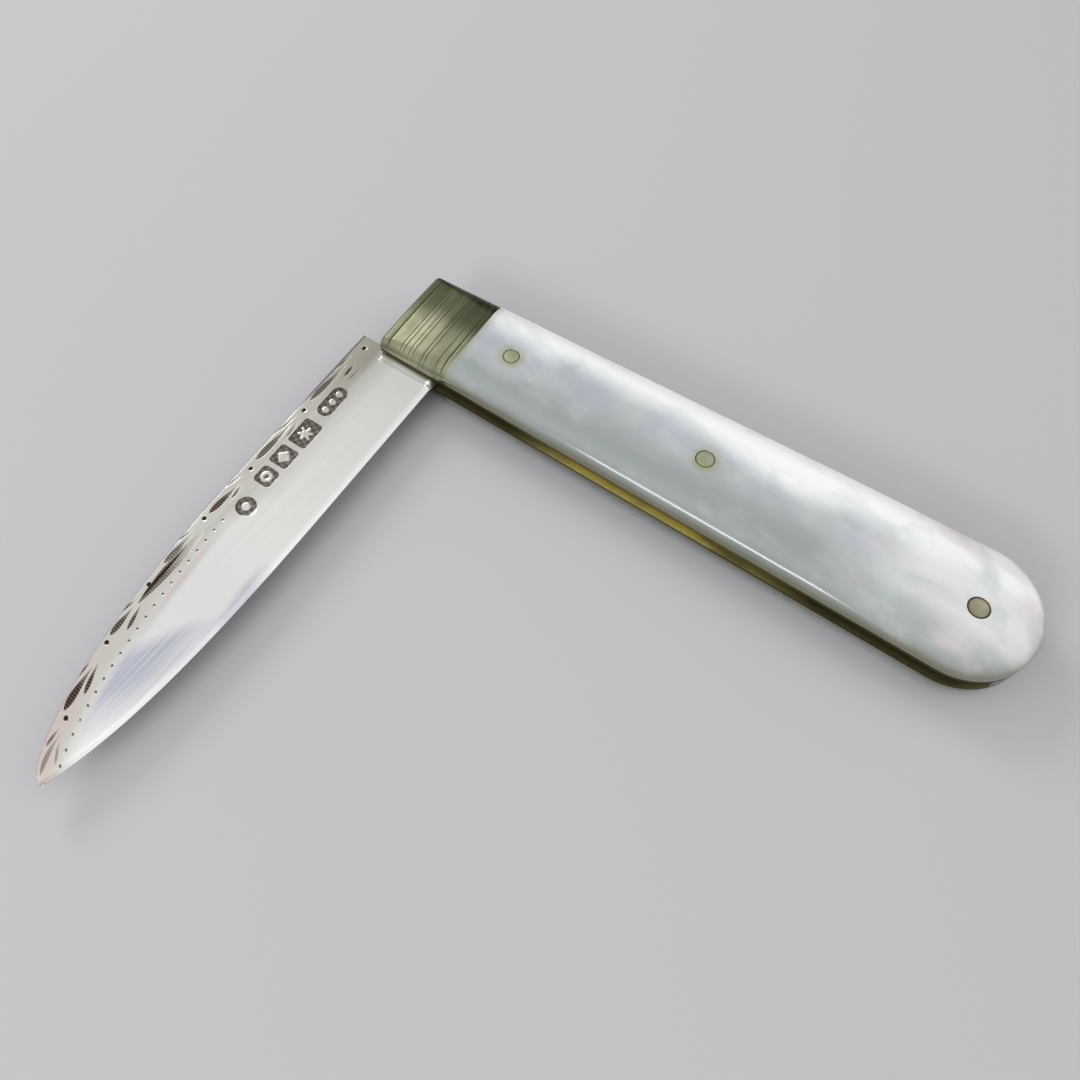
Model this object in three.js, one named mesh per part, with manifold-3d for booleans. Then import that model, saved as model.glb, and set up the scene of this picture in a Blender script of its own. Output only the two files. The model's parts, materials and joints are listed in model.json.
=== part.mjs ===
// A folding fruit knife, stopped half open: a silver blade on a slip joint between reeded bolsters,
// with mother-of-pearl scales on brass liners. Millimetres, +Z up, lying on its rear scale.
// Plan frame: the pivot axis is at x = 0, y = 0, the butt is towards +X, the back and its spring
// are towards +Y, and the half-open blade points along -Y with its cutting edge towards +X.

import * as THREE from 'three';
import { mergeVertices } from 'three/addons/utils/BufferGeometryUtils.js';
import Module from 'manifold-3d';

const wasm = await Module();
wasm.setup();

// Handle
const handleLength = 80;
const frontWidth = 12.4;
const buttRadius = 7.85;
const pivotSetback = 4.8;
const bolsterLength = 9.7;
const linerThickness = 0.5;
const slotWidth = 1.6;

// Scales: a low upright wall, then an elliptic rounding that reaches further in towards the butt
const scaleThickness = 2.25;
const scaleWall = 0.5;
const scaleRound = 2.5;
const buttRound = 4.5;
const buttEase = 15;
const easeSteps = 5;
const scaleSteps = 8;

// Bolsters: a crowned block, flatter and lower at its front end, with reeds cut across it, each
// groove a place, a width and a depth
const bolsterSink = 0.05;
const bolsterCrown = 0.2;
const bolsterTaper = 0.55;
const bolsterFrontRound = 0.9;
const crownSteps = 8;
const frontEase = 0.5;
const frontEaseDepth = 0.3;
const grooveWidth = 0.44;
const deepGrooveWidth = 0.6;
const grooveDepth = 0.1;
const deepGrooveDepth = 0.22;
const frontBead = 1.15;
const collarLength = 0.75;
const collarBead = 0.95;
const plainBand = 1.75;
const linePitch = 0.5;
const lineGroupPitch = 1.25;
const milledBand = 1.3;

// Blade: offsets are from the line through the pivot along the blade, and the tip gap is what is
// left between the closed blade's tip and the spring's tail
const tipGap = 0.3;
const spineOffset = 8.26;
const edgeOffset = 3.15;
const tipOffset = 1;
const tipBlunt = 0.7;
const spineSweep = 34.8;
const edgeSweep = 38.6;
const heelReach = 5.4;
const ricassoReach = 7.3;
const kickReach = 4.7;
const tangRound = 0.6;
const bladeSideClearance = 0.05;
const ricassoStep = 0.1;
const tipThickness = 0.7;
const bevelWidth = 0.55;
const bevelThickness = 0.45;
const edgeThickness = 0.12;
const bladeStations = 22;

// Shape of the two curves that meet at the tip: pull of their control points along and across
const spineStartPull = 0.39;
const spineTipRise = 0.093;
const spineTipSpread = 0.667;
const edgeStartPull = 0.574;
const edgeTipRise = 0.199;
const edgeTipSpread = 0.683;

// Slip joint: the tang is square, so its three flats stop the blade closed, half open and open
const tangHalf = 3.7;
const springClearance = 0.05;
const springPadPast = 1.5;
const springRamp = 2;
const springRelief = 0.35;
const springDepth = 3;
const tailRun = 19.2;
const tailWall = 0.75;
const tailEndAngle = THREE.MathUtils.degToRad(-45);
const lobeStartAngle = THREE.MathUtils.degToRad(135);
const lobeEndAngle = THREE.MathUtils.degToRad(260);

// Pins: places are from the bolster's front end, and the butt pin's inset is from the butt
const pivotPinRadius = 1.25;
const forePinPlace = 15;
const forePinRadius = 1;
const midPinPlace = 40.9;
const midPinRadius = 1.1;
const buttPinInset = 7.2;
const buttPinDrop = 0.4;
const buttPinRadius = 1.2;
const springPinPlace = 38;
const springPinRadius = 0.6;
const pinClearance = 0.05;
const pinRecess = 0.03;
const pinSides = 24;
const buttSteps = 28;

// Heights of the layers, from the face that the knife lies on
const rearLinerBase = scaleThickness;
const slotBase = rearLinerBase + linerThickness;
const slotTop = slotBase + slotWidth;
const frontScaleBase = slotTop + linerThickness;
const totalThickness = frontScaleBase + scaleThickness;
const midHeight = totalThickness / 2;

// Plan of the handle: straight sides that run tangent into the round butt
const handleFront = -pivotSetback;
const handleEnd = handleLength - pivotSetback;
const buttCentre = handleEnd - buttRadius;
const bolsterEnd = handleFront + bolsterLength;
const sideRun = buttCentre - handleFront;
const sideAngle = Math.asin(buttRadius / Math.hypot(sideRun, frontWidth / 2))
  - Math.atan2(frontWidth / 2, sideRun);

/** Half the handle's width at a place along it, on the straight sides. */
function halfWidth(x) {
  return buttRadius / Math.cos(sideAngle) + (x - buttCentre) * Math.tan(sideAngle);
}

/** Points round the butt, drawn in by an inset, from the belly side to the back. */
function buttArc(inset) {
  const sweep = Math.PI / 2 + sideAngle;
  const reach = buttRadius - inset;
  const points = [];
  for (let step = 0; step <= buttSteps; step += 1) {
    const angle = -sweep + (2 * sweep * step) / buttSteps;
    points.push(new THREE.Vector2(buttCentre + reach * Math.cos(angle), reach * Math.sin(angle)));
  }
  return points;
}

/** Skin a row of rings into a closed body. Rings turn right-handed about the way they advance. */
function loft(rings) {
  const count = rings[0].length;
  const positions = rings.flat().flatMap((point) => [point.x, point.y, point.z]);
  const last = (rings.length - 1) * count;
  const indices = [];
  for (let ring = 0; ring < rings.length - 1; ring += 1) {
    for (let spot = 0; spot < count; spot += 1) {
      const here = ring * count + spot;
      const beside = ring * count + ((spot + 1) % count);
      indices.push(here, beside, beside + count, here, beside + count, here + count);
    }
  }
  for (let spot = 1; spot < count - 1; spot += 1) {
    indices.push(0, spot + 1, spot, last, last + spot, last + spot + 1);
  }
  const geometry = new THREE.BufferGeometry();
  geometry.setAttribute('position', new THREE.Float32BufferAttribute(positions, 3));
  geometry.setIndex(indices);
  return geometry;
}

/** The same rings on the other side of the knife's mid plane, still facing out. */
function mirrored(rings) {
  return rings.map((ring) => ring
    .map((point) => new THREE.Vector3(point.x, point.y, totalThickness - point.z))
    .reverse());
}

/** A geometry as a solid that can be joined and cut. */
function toSolid(geometry) {
  const bare = geometry.clone();
  bare.deleteAttribute('normal');
  bare.deleteAttribute('uv');
  const merged = mergeVertices(bare);
  return new wasm.Manifold(new wasm.Mesh({
    numProp: 3,
    vertProperties: new Float32Array(merged.attributes.position.array),
    triVerts: new Uint32Array(merged.index.array),
  }));
}

/** A solid as a geometry for a mesh. */
function toGeometry(solid) {
  const { vertProperties, triVerts } = solid.getMesh();
  const geometry = new THREE.BufferGeometry();
  geometry.setAttribute('position', new THREE.Float32BufferAttribute(vertProperties, 3));
  geometry.setIndex(Array.from(triVerts));
  geometry.computeVertexNormals();
  return geometry;
}

/** An upright round bar at a pin's place. */
function bar(pin, radius, base, top) {
  const geometry = new THREE.CylinderGeometry(radius, radius, top - base, pinSides);
  geometry.rotateX(Math.PI / 2);
  geometry.translate(pin.x, pin.y, (base + top) / 2);
  return geometry;
}

/** A solid with a clear hole through it for each pin. */
function drilled(solid, pins) {
  const below = -totalThickness;
  const above = 2 * totalThickness;
  return pins.reduce(
    (left, pin) => left.subtract(toSolid(bar(pin, pin.radius + pinClearance, below, above))),
    solid,
  );
}

/** A flat plate cut to a shape, between two heights. */
function plate(shape, base, top) {
  const geometry = new THREE.ExtrudeGeometry(shape, {
    depth: top - base,
    bevelEnabled: false,
    curveSegments: buttSteps,
  });
  geometry.translate(0, 0, base);
  return toSolid(geometry);
}

// Places of the pins
const pivotPin = { x: 0, y: 0, radius: pivotPinRadius };
const forePin = { x: handleFront + forePinPlace, y: 0, radius: forePinRadius };
const midPin = { x: handleFront + midPinPlace, y: 0, radius: midPinRadius };
const buttPin = { x: handleEnd - buttPinInset, y: -buttPinDrop, radius: buttPinRadius };
const springPin = {
  x: handleFront + springPinPlace,
  y: halfWidth(handleFront + springPinPlace) - springDepth / 2,
  radius: springPinRadius,
};

// The spring's tail closes round the butt pin, and the folded blade stops just short of it
const tailLobe = buttPinRadius + pinClearance + tailWall;
const tailRoot = handleEnd - tailRun;
const bladeReach = buttPin.x - tailLobe - tipGap;

/** Steps of a rounded edge from its foot to its flat top: share of the inset, and height. */
function edgeRounding() {
  const steps = [{ share: 0, height: 0 }];
  for (let step = 0; step <= scaleSteps; step += 1) {
    const angle = (Math.PI / 2) * (step / scaleSteps);
    steps.push({
      share: 1 - Math.cos(angle),
      height: scaleWall + (scaleThickness - scaleWall) * Math.sin(angle),
    });
  }
  return steps;
}

/** How far in a scale's rounding reaches at a place along the handle. */
function roundAt(x) {
  const nearness = THREE.MathUtils.smoothstep(x, buttCentre - buttEase, buttCentre);
  return THREE.MathUtils.lerp(scaleRound, buttRound, nearness);
}

/** Plan of a scale drawn in by a share of its rounding. */
function scalePlan(share) {
  const places = [bolsterEnd];
  for (let step = 0; step < easeSteps; step += 1) {
    places.push(buttCentre - buttEase * (1 - step / easeSteps));
  }
  const drawnIn = (x) => halfWidth(x) - (share * roundAt(x)) / Math.cos(sideAngle);
  const belly = places.map((x) => new THREE.Vector2(x, -drawnIn(x)));
  const back = [...places].reverse().map((x) => new THREE.Vector2(x, drawnIn(x)));
  return [...belly, ...buttArc(share * buttRound), ...back];
}

/** Rings of a pearl scale: its plan drawn in step by step up its rounded edge. */
function scaleRings() {
  return edgeRounding().map(({ share, height }) => scalePlan(share)
    .map((point) => new THREE.Vector3(point.x, point.y, frontScaleBase + height)));
}

/** The grooves across a bolster, from its front end: place of the middle, width and depth. */
function bolsterGrooves() {
  const lines = frontBead + plainBand;
  const milledFront = lines + lineGroupPitch + linePitch;
  const fine = [
    lines,
    lines + linePitch,
    lines + lineGroupPitch,
    milledFront,
    milledFront + milledBand,
    milledFront + milledBand + linePitch,
  ];
  const collar = bolsterLength - collarLength;
  return [
    { at: frontBead, width: deepGrooveWidth, depth: deepGrooveDepth },
    ...fine.map((at) => ({ at, width: grooveWidth, depth: grooveDepth })),
    { at: collar - collarBead, width: grooveWidth, depth: grooveDepth },
    { at: collar, width: deepGrooveWidth, depth: deepGrooveDepth },
  ];
}

/** Rings of a bolster: its domed section at every place where the reeding changes. */
function bolsterRings() {
  const grooves = bolsterGrooves();
  const places = new Set([0, frontEase, bolsterLength]);
  grooves.forEach(({ at, width }) => [at - width / 2, at, at + width / 2]
    .filter((place) => place > frontEase && place < bolsterLength)
    .forEach((place) => places.add(place)));
  const sunkAt = (place) => Math.max(
    frontEaseDepth * Math.max(0, 1 - place / frontEase),
    ...grooves.map(({ at, width, depth }) => depth * Math.max(0, 1 - Math.abs(place - at) / (width / 2))),
  );
  return [...places].sort((one, other) => one - other)
    .map((place) => bolsterSection(handleFront + place, sunkAt(place)));
}

/** One section of a bolster across the handle, sunk evenly where a reed is cut. */
function bolsterSection(x, sunk) {
  const half = halfWidth(x);
  const toScale = (x - handleFront) / bolsterLength;
  const round = THREE.MathUtils.lerp(bolsterFrontRound, scaleRound, toScale);
  const crestHeight = scaleThickness - bolsterSink - bolsterTaper * (1 - toScale) - sunk;
  const flank = edgeRounding().map(({ share, height }) => ({
    y: half - share * round,
    level: height / scaleThickness,
  }));
  const crown = [];
  for (let step = 1; step < crownSteps; step += 1) {
    crown.push({ y: (half - round) * (1 - (2 * step) / crownSteps), level: 1 });
  }
  const otherFlank = [...flank].reverse().map(({ y, level }) => ({ y: -y, level }));
  return [...flank, ...crown, ...otherFlank].map(({ y, level }) => new THREE.Vector3(
    x,
    y,
    frontScaleBase + level * (crestHeight - bolsterCrown * (y / half) ** 2),
  ));
}

/** Plan of a liner: the whole handle. */
function linerShape() {
  const corner = halfWidth(handleFront);
  return new THREE.Shape([
    new THREE.Vector2(handleFront, -corner),
    ...buttArc(0),
    new THREE.Vector2(handleFront, corner),
  ]);
}

/** Plan of the backspring: nose over the tang, relieved arm, and a tail round the butt pin. */
function springShape() {
  const noseY = tangHalf + springClearance;
  const padEnd = tangHalf + springPadPast;
  const shape = new THREE.Shape();
  shape.moveTo(handleFront, noseY);
  shape.lineTo(padEnd, noseY);
  shape.lineTo(padEnd + springRamp, noseY + springRelief);
  shape.lineTo(tailRoot, halfWidth(tailRoot) - springDepth);
  shape.absarc(buttPin.x, buttPin.y, tailLobe, lobeStartAngle, lobeEndAngle, false);
  shape.absarc(buttCentre, 0, buttRadius, tailEndAngle, Math.PI / 2 + sideAngle, false);
  shape.lineTo(handleFront, halfWidth(handleFront));
  shape.closePath();
  return shape;
}

/** Plan of the tang and ricasso: the square with its shoulder on one side and kick on the other. */
function tangShape() {
  const near = tangHalf - tangRound;
  const shape = new THREE.Shape();
  shape.moveTo(-tangHalf, near);
  shape.lineTo(-tangHalf, -heelReach);
  shape.lineTo(-spineOffset, -heelReach);
  shape.lineTo(-spineOffset, -ricassoReach);
  shape.lineTo(edgeOffset, -ricassoReach);
  shape.lineTo(tangHalf, -kickReach);
  shape.lineTo(tangHalf, near);
  shape.absarc(near, near, tangRound, 0, Math.PI / 2, false);
  shape.absarc(-near, near, tangRound, Math.PI / 2, Math.PI, false);
  return shape;
}

/** A curve of the blade's plan from its straight part to the tip: x across, y along. */
function tipCurve(side, sweep, tipSide, startPull, tipRise, tipSpread) {
  const start = new THREE.Vector2(side, bladeReach - sweep);
  const end = new THREE.Vector2(tipSide, bladeReach);
  return new THREE.CubicBezierCurve(
    start,
    new THREE.Vector2(side, start.y + startPull * sweep),
    new THREE.Vector2(tipSide + tipSpread * (side - tipSide), bladeReach - tipRise * sweep),
    end,
  );
}

/** Offset of a blade curve at a reach from the pivot, straight before the curve starts. */
function offsetAt(curve, reach) {
  if (reach <= curve.v0.y) {
    return curve.v0.x;
  }
  let low = 0;
  let high = 1;
  for (let halving = 0; halving < 40; halving += 1) {
    const middle = (low + high) / 2;
    if (curve.getPoint(middle).y < reach) {
      low = middle;
    } else {
      high = middle;
    }
  }
  return curve.getPoint(high).x;
}

/** Rings of the ground blade from inside the ricasso to the tip: spine, flank, bevel and edge. */
function bladeRings() {
  const tipSpine = -tipOffset - tipBlunt / 2;
  const tipEdge = -tipOffset + tipBlunt / 2;
  const spine = tipCurve(-spineOffset, spineSweep, tipSpine, spineStartPull, spineTipRise, spineTipSpread);
  const edge = tipCurve(edgeOffset, edgeSweep, tipEdge, edgeStartPull, edgeTipRise, edgeTipSpread);
  const start = (heelReach + ricassoReach) / 2;
  const curveStart = Math.min(spine.v0.y, edge.v0.y);
  const spineThickness = slotWidth - 2 * (bladeSideClearance + ricassoStep);
  const reaches = [start];
  for (let step = 0; step <= bladeStations; step += 1) {
    reaches.push(curveStart + (bladeReach - curveStart) * Math.sin((Math.PI / 2) * (step / bladeStations)));
  }
  return reaches.map((reach) => {
    const run = (reach - start) / (bladeReach - start);
    const back = offsetAt(spine, reach);
    const front = offsetAt(edge, reach);
    const bevel = Math.max(front - bevelWidth, (back + front) / 2);
    const thick = THREE.MathUtils.lerp(spineThickness, tipThickness, run);
    const section = [
      [front, -edgeThickness],
      [front, edgeThickness],
      [bevel, bevelThickness],
      [back, thick],
      [back, -thick],
      [bevel, -bevelThickness],
    ];
    return section.map(([x, span]) => new THREE.Vector3(x, -reach, midHeight + span / 2));
  });
}

/** The blade: ground body and square tang in one piece, bored for the pivot. */
function bladeSolid() {
  const tang = plate(tangShape(), slotBase + bladeSideClearance, slotTop - bladeSideClearance);
  return drilled(toSolid(loft(bladeRings())).add(tang), [pivotPin]);
}

/** The pivot pin: a bar whose two ends are dressed down to the bolsters' own domes. */
function pivotPinSolid(bolsters) {
  const whole = toSolid(bar(pivotPin, pivotPinRadius, 0, totalThickness));
  const core = toSolid(bar(pivotPin, pivotPinRadius, rearLinerBase, frontScaleBase));
  return bolsters.reduce((pin, bolster) => pin.add(bolster.intersect(whole)), core);
}

// Finishes
const silver = { color: 0xd9d9d6, roughness: 0.18, metalness: 1 };
const nickelSilver = { color: 0xb9b69a, roughness: 0.3, metalness: 1 };
const brass = { color: 0xb08d3c, roughness: 0.35, metalness: 1 };
const springSteel = { color: 0x8e8f90, roughness: 0.35, metalness: 1 };
const pearl = { color: 0xdfe2de, roughness: 0.15, metalness: 0 };

const knife = new THREE.Group();

/** Add a solid to the knife as a named piece with its own finish. */
function addPiece(name, solid, finish) {
  const mesh = new THREE.Mesh(toGeometry(solid), new THREE.MeshStandardMaterial(finish));
  mesh.name = name;
  knife.add(mesh);
}

// The two sides of the handle
const bolsterBlanks = [];
const sides = [
  { name: 'front', place: (rings) => rings, linerBase: slotTop },
  { name: 'rear', place: mirrored, linerBase: rearLinerBase },
];
sides.forEach(({ name, place, linerBase }) => {
  const blank = toSolid(loft(place(bolsterRings())));
  const scale = toSolid(loft(place(scaleRings())));
  const liner = plate(linerShape(), linerBase, linerBase + linerThickness);
  bolsterBlanks.push(blank);
  addPiece(`${name}_bolster`, drilled(blank, [pivotPin]), nickelSilver);
  addPiece(`${name}_scale`, drilled(scale, [forePin, midPin, buttPin]), pearl);
  addPiece(`${name}_liner`, drilled(liner, [pivotPin, forePin, midPin, buttPin, springPin]), brass);
  const isFront = name === 'front';
  const pinBase = isFront ? slotTop + pinRecess : pinRecess;
  const pinTop = isFront ? totalThickness - pinRecess : slotBase - pinRecess;
  addPiece(`${name}_scale_fore_pin`, toSolid(bar(forePin, forePinRadius, pinBase, pinTop)), nickelSilver);
  addPiece(`${name}_scale_mid_pin`, toSolid(bar(midPin, midPinRadius, pinBase, pinTop)), nickelSilver);
});

// Between the liners, and the pins that cross them
addPiece('blade', bladeSolid(), silver);
addPiece('backspring', drilled(plate(springShape(), slotBase, slotTop), [buttPin, springPin]), springSteel);
addPiece('pivot_pin', pivotPinSolid(bolsterBlanks), nickelSilver);
const buttPinBar = bar(buttPin, buttPinRadius, pinRecess, totalThickness - pinRecess);
addPiece('butt_pin', toSolid(buttPinBar), nickelSilver);
const springPinBar = bar(springPin, springPinRadius, rearLinerBase + pinRecess, frontScaleBase - pinRecess);
addPiece('spring_pin', toSolid(springPinBar), springSteel);

// The origin is the middle of the face that the rear scale lies on
knife.position.x = -(bolsterEnd + handleEnd) / 2;

export default knife;
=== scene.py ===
"""The look of a folding fruit knife: a silver blade with a cut border, reeded bolsters and pearl scales.

Sizes are in millimetres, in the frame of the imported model, and become metres in the meshes.
"""
import json
import logging
import math
from dataclasses import dataclass, field, replace
from enum import Enum
from typing import Any, ClassVar, Sequence

import bpy
import numpy as np
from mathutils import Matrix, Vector


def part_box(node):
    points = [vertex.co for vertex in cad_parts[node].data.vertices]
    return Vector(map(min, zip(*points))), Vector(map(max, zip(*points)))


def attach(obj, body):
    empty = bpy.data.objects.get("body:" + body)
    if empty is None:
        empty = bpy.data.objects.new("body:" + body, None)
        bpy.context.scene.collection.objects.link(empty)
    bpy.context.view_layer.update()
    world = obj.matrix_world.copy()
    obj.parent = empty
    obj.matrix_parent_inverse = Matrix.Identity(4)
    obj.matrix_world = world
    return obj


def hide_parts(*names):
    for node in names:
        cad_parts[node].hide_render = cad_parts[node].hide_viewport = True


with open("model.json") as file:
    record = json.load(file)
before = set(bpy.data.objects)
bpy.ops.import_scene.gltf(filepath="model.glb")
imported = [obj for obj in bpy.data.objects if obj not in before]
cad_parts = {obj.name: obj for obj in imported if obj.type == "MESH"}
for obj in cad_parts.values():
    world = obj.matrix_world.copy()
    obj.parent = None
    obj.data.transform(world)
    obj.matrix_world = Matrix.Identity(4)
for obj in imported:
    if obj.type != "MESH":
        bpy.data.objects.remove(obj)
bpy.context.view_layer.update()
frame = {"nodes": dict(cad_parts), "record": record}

LOG = logging.getLogger("fruit_knife")
MM = 0.001
TINY = 1e-6
WHOLE = (0.0, 1.0)
# Angle in degrees between the handle and the growth layers of its shell.
SHELL_TURN = 25.0


class Side(Enum):
    """The two sides of the knife: the one that faces up, and the one it lies on."""

    FRONT = 1
    REAR = -1


class Body(Enum):
    """The two rigid bodies of the knife."""

    HANDLE = "handle"
    BLADE = "blade"


class Slot(Enum):
    """Material slots of the record."""

    SILVER = "silver"
    NICKEL_SILVER = "nickel_silver"
    PEARL = "pearl"
    BRASS = "brass"
    STEEL = "spring_steel"


def to_linear(colour: str) -> tuple[float, float, float, float]:
    """Turn an sRGB hex colour into linear red, green, blue and alpha.

    Args:
        colour: Six hex digits after a hash sign.

    Returns:
        The linear colour with alpha 1.
    """
    channels = [int(colour[place:place + 2], 16) / 255 for place in (1, 3, 5)]
    linear = [c / 12.92 if c <= 0.04045 else ((c + 0.055) / 1.055) ** 2.4 for c in channels]
    return (linear[0], linear[1], linear[2], 1.0)


def per_size(size: float) -> float:
    """Pattern scale, in repeats per metre, of a feature of a size in millimetres."""
    return 1 / (size * MM)


def add_node(
    tree: bpy.types.NodeTree,
    kind: str,
    settings: dict[str, Any] | None = None,
    inputs: dict[str | int, Any] | None = None,
    stops: Sequence[tuple[float, str]] = (),
) -> bpy.types.Node:
    """Add a node with its settings, its socket values or links, and the stops of a colour ramp.

    Args:
        tree: The node tree to add to.
        kind: Blender's name for the kind of node.
        settings: Properties of the node by name.
        inputs: Values or output sockets for its inputs, by name or place.
        stops: Places and hex colours for a colour ramp.

    Returns:
        The new node.
    """
    node = tree.nodes.new(kind)
    for name, value in (settings or {}).items():
        setattr(node, name, value)
    for name, value in (inputs or {}).items():
        socket = node.inputs[name]
        if isinstance(value, bpy.types.NodeSocket):
            tree.links.new(value, socket)
        else:
            socket.default_value = value
    for place, (position, colour) in enumerate(stops):
        elements = node.color_ramp.elements
        element = elements[place] if place < 2 else elements.new(position)
        element.position = position
        element.color = to_linear(colour)
    return node


@dataclass(frozen=True)
class Grain:
    """A cloudy or streaky pattern in the knife's own frame, sized in millimetres."""

    size: float
    stretch: tuple[float, float, float] = (1, 1, 1)
    turn: float = 0.0
    detail: float = 3.0
    swirl: float = 0.0
    shift: float = 0.0

    def add(self, tree: bpy.types.NodeTree) -> bpy.types.NodeSocket:
        """Add the pattern to a material.

        Args:
            tree: The material's node tree.

        Returns:
            Its value, about a half on average.
        """
        place = add_node(tree, "ShaderNodeTexCoord")
        turned = add_node(
            tree,
            "ShaderNodeVectorRotate",
            {"rotation_type": "Z_AXIS"},
            {"Vector": place.outputs["Object"], "Angle": math.radians(self.turn)},
        )
        scale = tuple(per_size(self.size * part) for part in self.stretch)
        mapped = add_node(
            tree,
            "ShaderNodeMapping",
            {},
            {"Vector": turned.outputs[0], "Scale": scale, "Location": (0, 0, self.shift)},
        )
        texture = add_node(
            tree,
            "ShaderNodeTexNoise",
            {},
            {"Vector": mapped.outputs[0], "Scale": 1.0, "Detail": self.detail, "Distortion": self.swirl},
        )
        return texture.outputs["Fac"]


@dataclass(frozen=True)
class Lie:
    """How far a point lies along or across the knife, in millimetres, with a ragged front."""

    axis: str
    ragged: float
    grain: Grain

    def add(self, tree: bpy.types.NodeTree) -> bpy.types.NodeSocket:
        """Add the distance to a material.

        Args:
            tree: The material's node tree.

        Returns:
            The distance.
        """
        place = add_node(tree, "ShaderNodeTexCoord")
        split = add_node(tree, "ShaderNodeSeparateXYZ", {}, {0: place.outputs["Object"]})
        wander = add_node(
            tree,
            "ShaderNodeMath",
            {"operation": "MULTIPLY_ADD"},
            {0: self.grain.add(tree), 1: self.ragged, 2: -self.ragged / 2},
        )
        distance = add_node(
            tree,
            "ShaderNodeMath",
            {"operation": "MULTIPLY_ADD"},
            {0: split.outputs[self.axis], 1: 1 / MM, 2: wander.outputs[0]},
        )
        return distance.outputs[0]


@dataclass(frozen=True)
class Spot:
    """A soft patch on the knife: its centre, its reach along and across, and the full part of that."""

    centre: tuple[float, float]
    reach: tuple[float, float]
    core: float = 0.4

    def add(self, tree: bpy.types.NodeTree) -> bpy.types.NodeSocket:
        """Add the patch to a material.

        Args:
            tree: The material's node tree.

        Returns:
            Its strength, 1 in the middle.
        """
        place = add_node(tree, "ShaderNodeTexCoord")
        offset = add_node(
            tree,
            "ShaderNodeVectorMath",
            {"operation": "SUBTRACT"},
            {0: place.outputs["Object"], 1: (self.centre[0] * MM, self.centre[1] * MM, 0)},
        )
        scaled = add_node(
            tree,
            "ShaderNodeVectorMath",
            {"operation": "MULTIPLY"},
            {0: offset.outputs[0], 1: (per_size(self.reach[0]), per_size(self.reach[1]), 0)},
        )
        away = add_node(tree, "ShaderNodeVectorMath", {"operation": "LENGTH"}, {0: scaled.outputs[0]})
        ranged = {"Value": away.outputs["Value"], "From Min": self.core, "From Max": 1.0}
        ranged |= {"To Min": 1.0, "To Max": 0.0}
        return add_node(tree, "ShaderNodeMapRange", {}, ranged).outputs[0]


@dataclass(frozen=True)
class Layer:
    """A colour that a pattern lays over another: where it starts and is full, and how much shows at these."""

    colour: str
    limits: tuple[float, float] = WHOLE
    amounts: tuple[float, float] = WHOLE


@dataclass(frozen=True)
class Finish:
    """A surface: what it is made of and how it catches light."""

    name: str
    colour: str
    roughness: float
    metallic: float
    gloss_spread: tuple[float, float] = (0.75, 1.45)
    gloss_limits: tuple[float, float] = (0.3, 0.72)
    matt_gain: float = 0.5

    def material(self) -> bpy.types.Material:
        """Make the finish's material, once.

        Returns:
            The material.
        """
        made = bpy.data.materials.get(self.name)
        if made is not None:
            return made
        made = bpy.data.materials.new(self.name)
        made.use_nodes = True
        shader = made.node_tree.nodes["Principled BSDF"]
        shader.inputs["Base Color"].default_value = to_linear(self.colour)
        shader.inputs["Roughness"].default_value = self.roughness
        shader.inputs["Metallic"].default_value = self.metallic
        self.wire(made.node_tree, shader)
        return made

    def wire(self, tree: bpy.types.NodeTree, shader: bpy.types.Node) -> None:
        """Add the finish's own pattern.

        Args:
            tree: The material's node tree.
            shader: Its main shader.
        """

    def lay(
        self,
        tree: bpy.types.NodeTree,
        below: Any,
        layer: Layer,
        pattern: bpy.types.NodeSocket,
        share: Any = 1.0,
    ) -> bpy.types.NodeSocket:
        """Lay a colour over another by the strength of a pattern.

        Args:
            tree: The material's node tree.
            below: The colour underneath, as a colour or a socket.
            layer: The colour on top.
            pattern: The pattern that says where it lies.
            share: A further share of it, as a number or a socket.

        Returns:
            The mixed colour.
        """
        ranged = {"Value": pattern, "From Min": layer.limits[0], "From Max": layer.limits[1]}
        ranged |= {"To Min": layer.amounts[0], "To Max": layer.amounts[1]}
        amount = add_node(tree, "ShaderNodeMapRange", {"interpolation_type": "SMOOTHSTEP"}, ranged)
        part = add_node(tree, "ShaderNodeMath", {"operation": "MULTIPLY"}, {0: amount.outputs[0], 1: share})
        # Sockets 6 and 7, and output 2, are the ones for colours.
        mix = add_node(
            tree,
            "ShaderNodeMix",
            {"data_type": "RGBA", "blend_type": "MIX"},
            {"Factor": part.outputs[0], 6: below, 7: to_linear(layer.colour)},
        )
        return mix.outputs[2]

    def wear(
        self,
        tree: bpy.types.NodeTree,
        shader: bpy.types.Node,
        pattern: bpy.types.NodeSocket,
        depth: float,
        matt: Any = 0.0,
    ) -> None:
        """Let a pattern vary the gloss and stand out as fine relief.

        Args:
            tree: The material's node tree.
            shader: Its main shader.
            pattern: The pattern of the wear.
            depth: Depth of the relief in millimetres.
            matt: How matt the surface is besides, as a number or a socket.
        """
        ranged = {"Value": pattern, "From Min": self.gloss_limits[0], "From Max": self.gloss_limits[1]}
        low, high = self.gloss_spread
        ranged |= {"To Min": self.roughness * low, "To Max": self.roughness * high}
        worn = add_node(tree, "ShaderNodeMapRange", {}, ranged).outputs[0]
        rough = add_node(
            tree,
            "ShaderNodeMath",
            {"operation": "MULTIPLY_ADD"},
            {0: matt, 1: self.matt_gain, 2: worn},
        )
        tree.links.new(rough.outputs[0], shader.inputs["Roughness"])
        relief = {"Strength": 1.0, "Distance": depth * MM, "Height": pattern}
        bumped = add_node(tree, "ShaderNodeBump", {}, relief)
        tree.links.new(bumped.outputs["Normal"], shader.inputs["Normal"])


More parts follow.
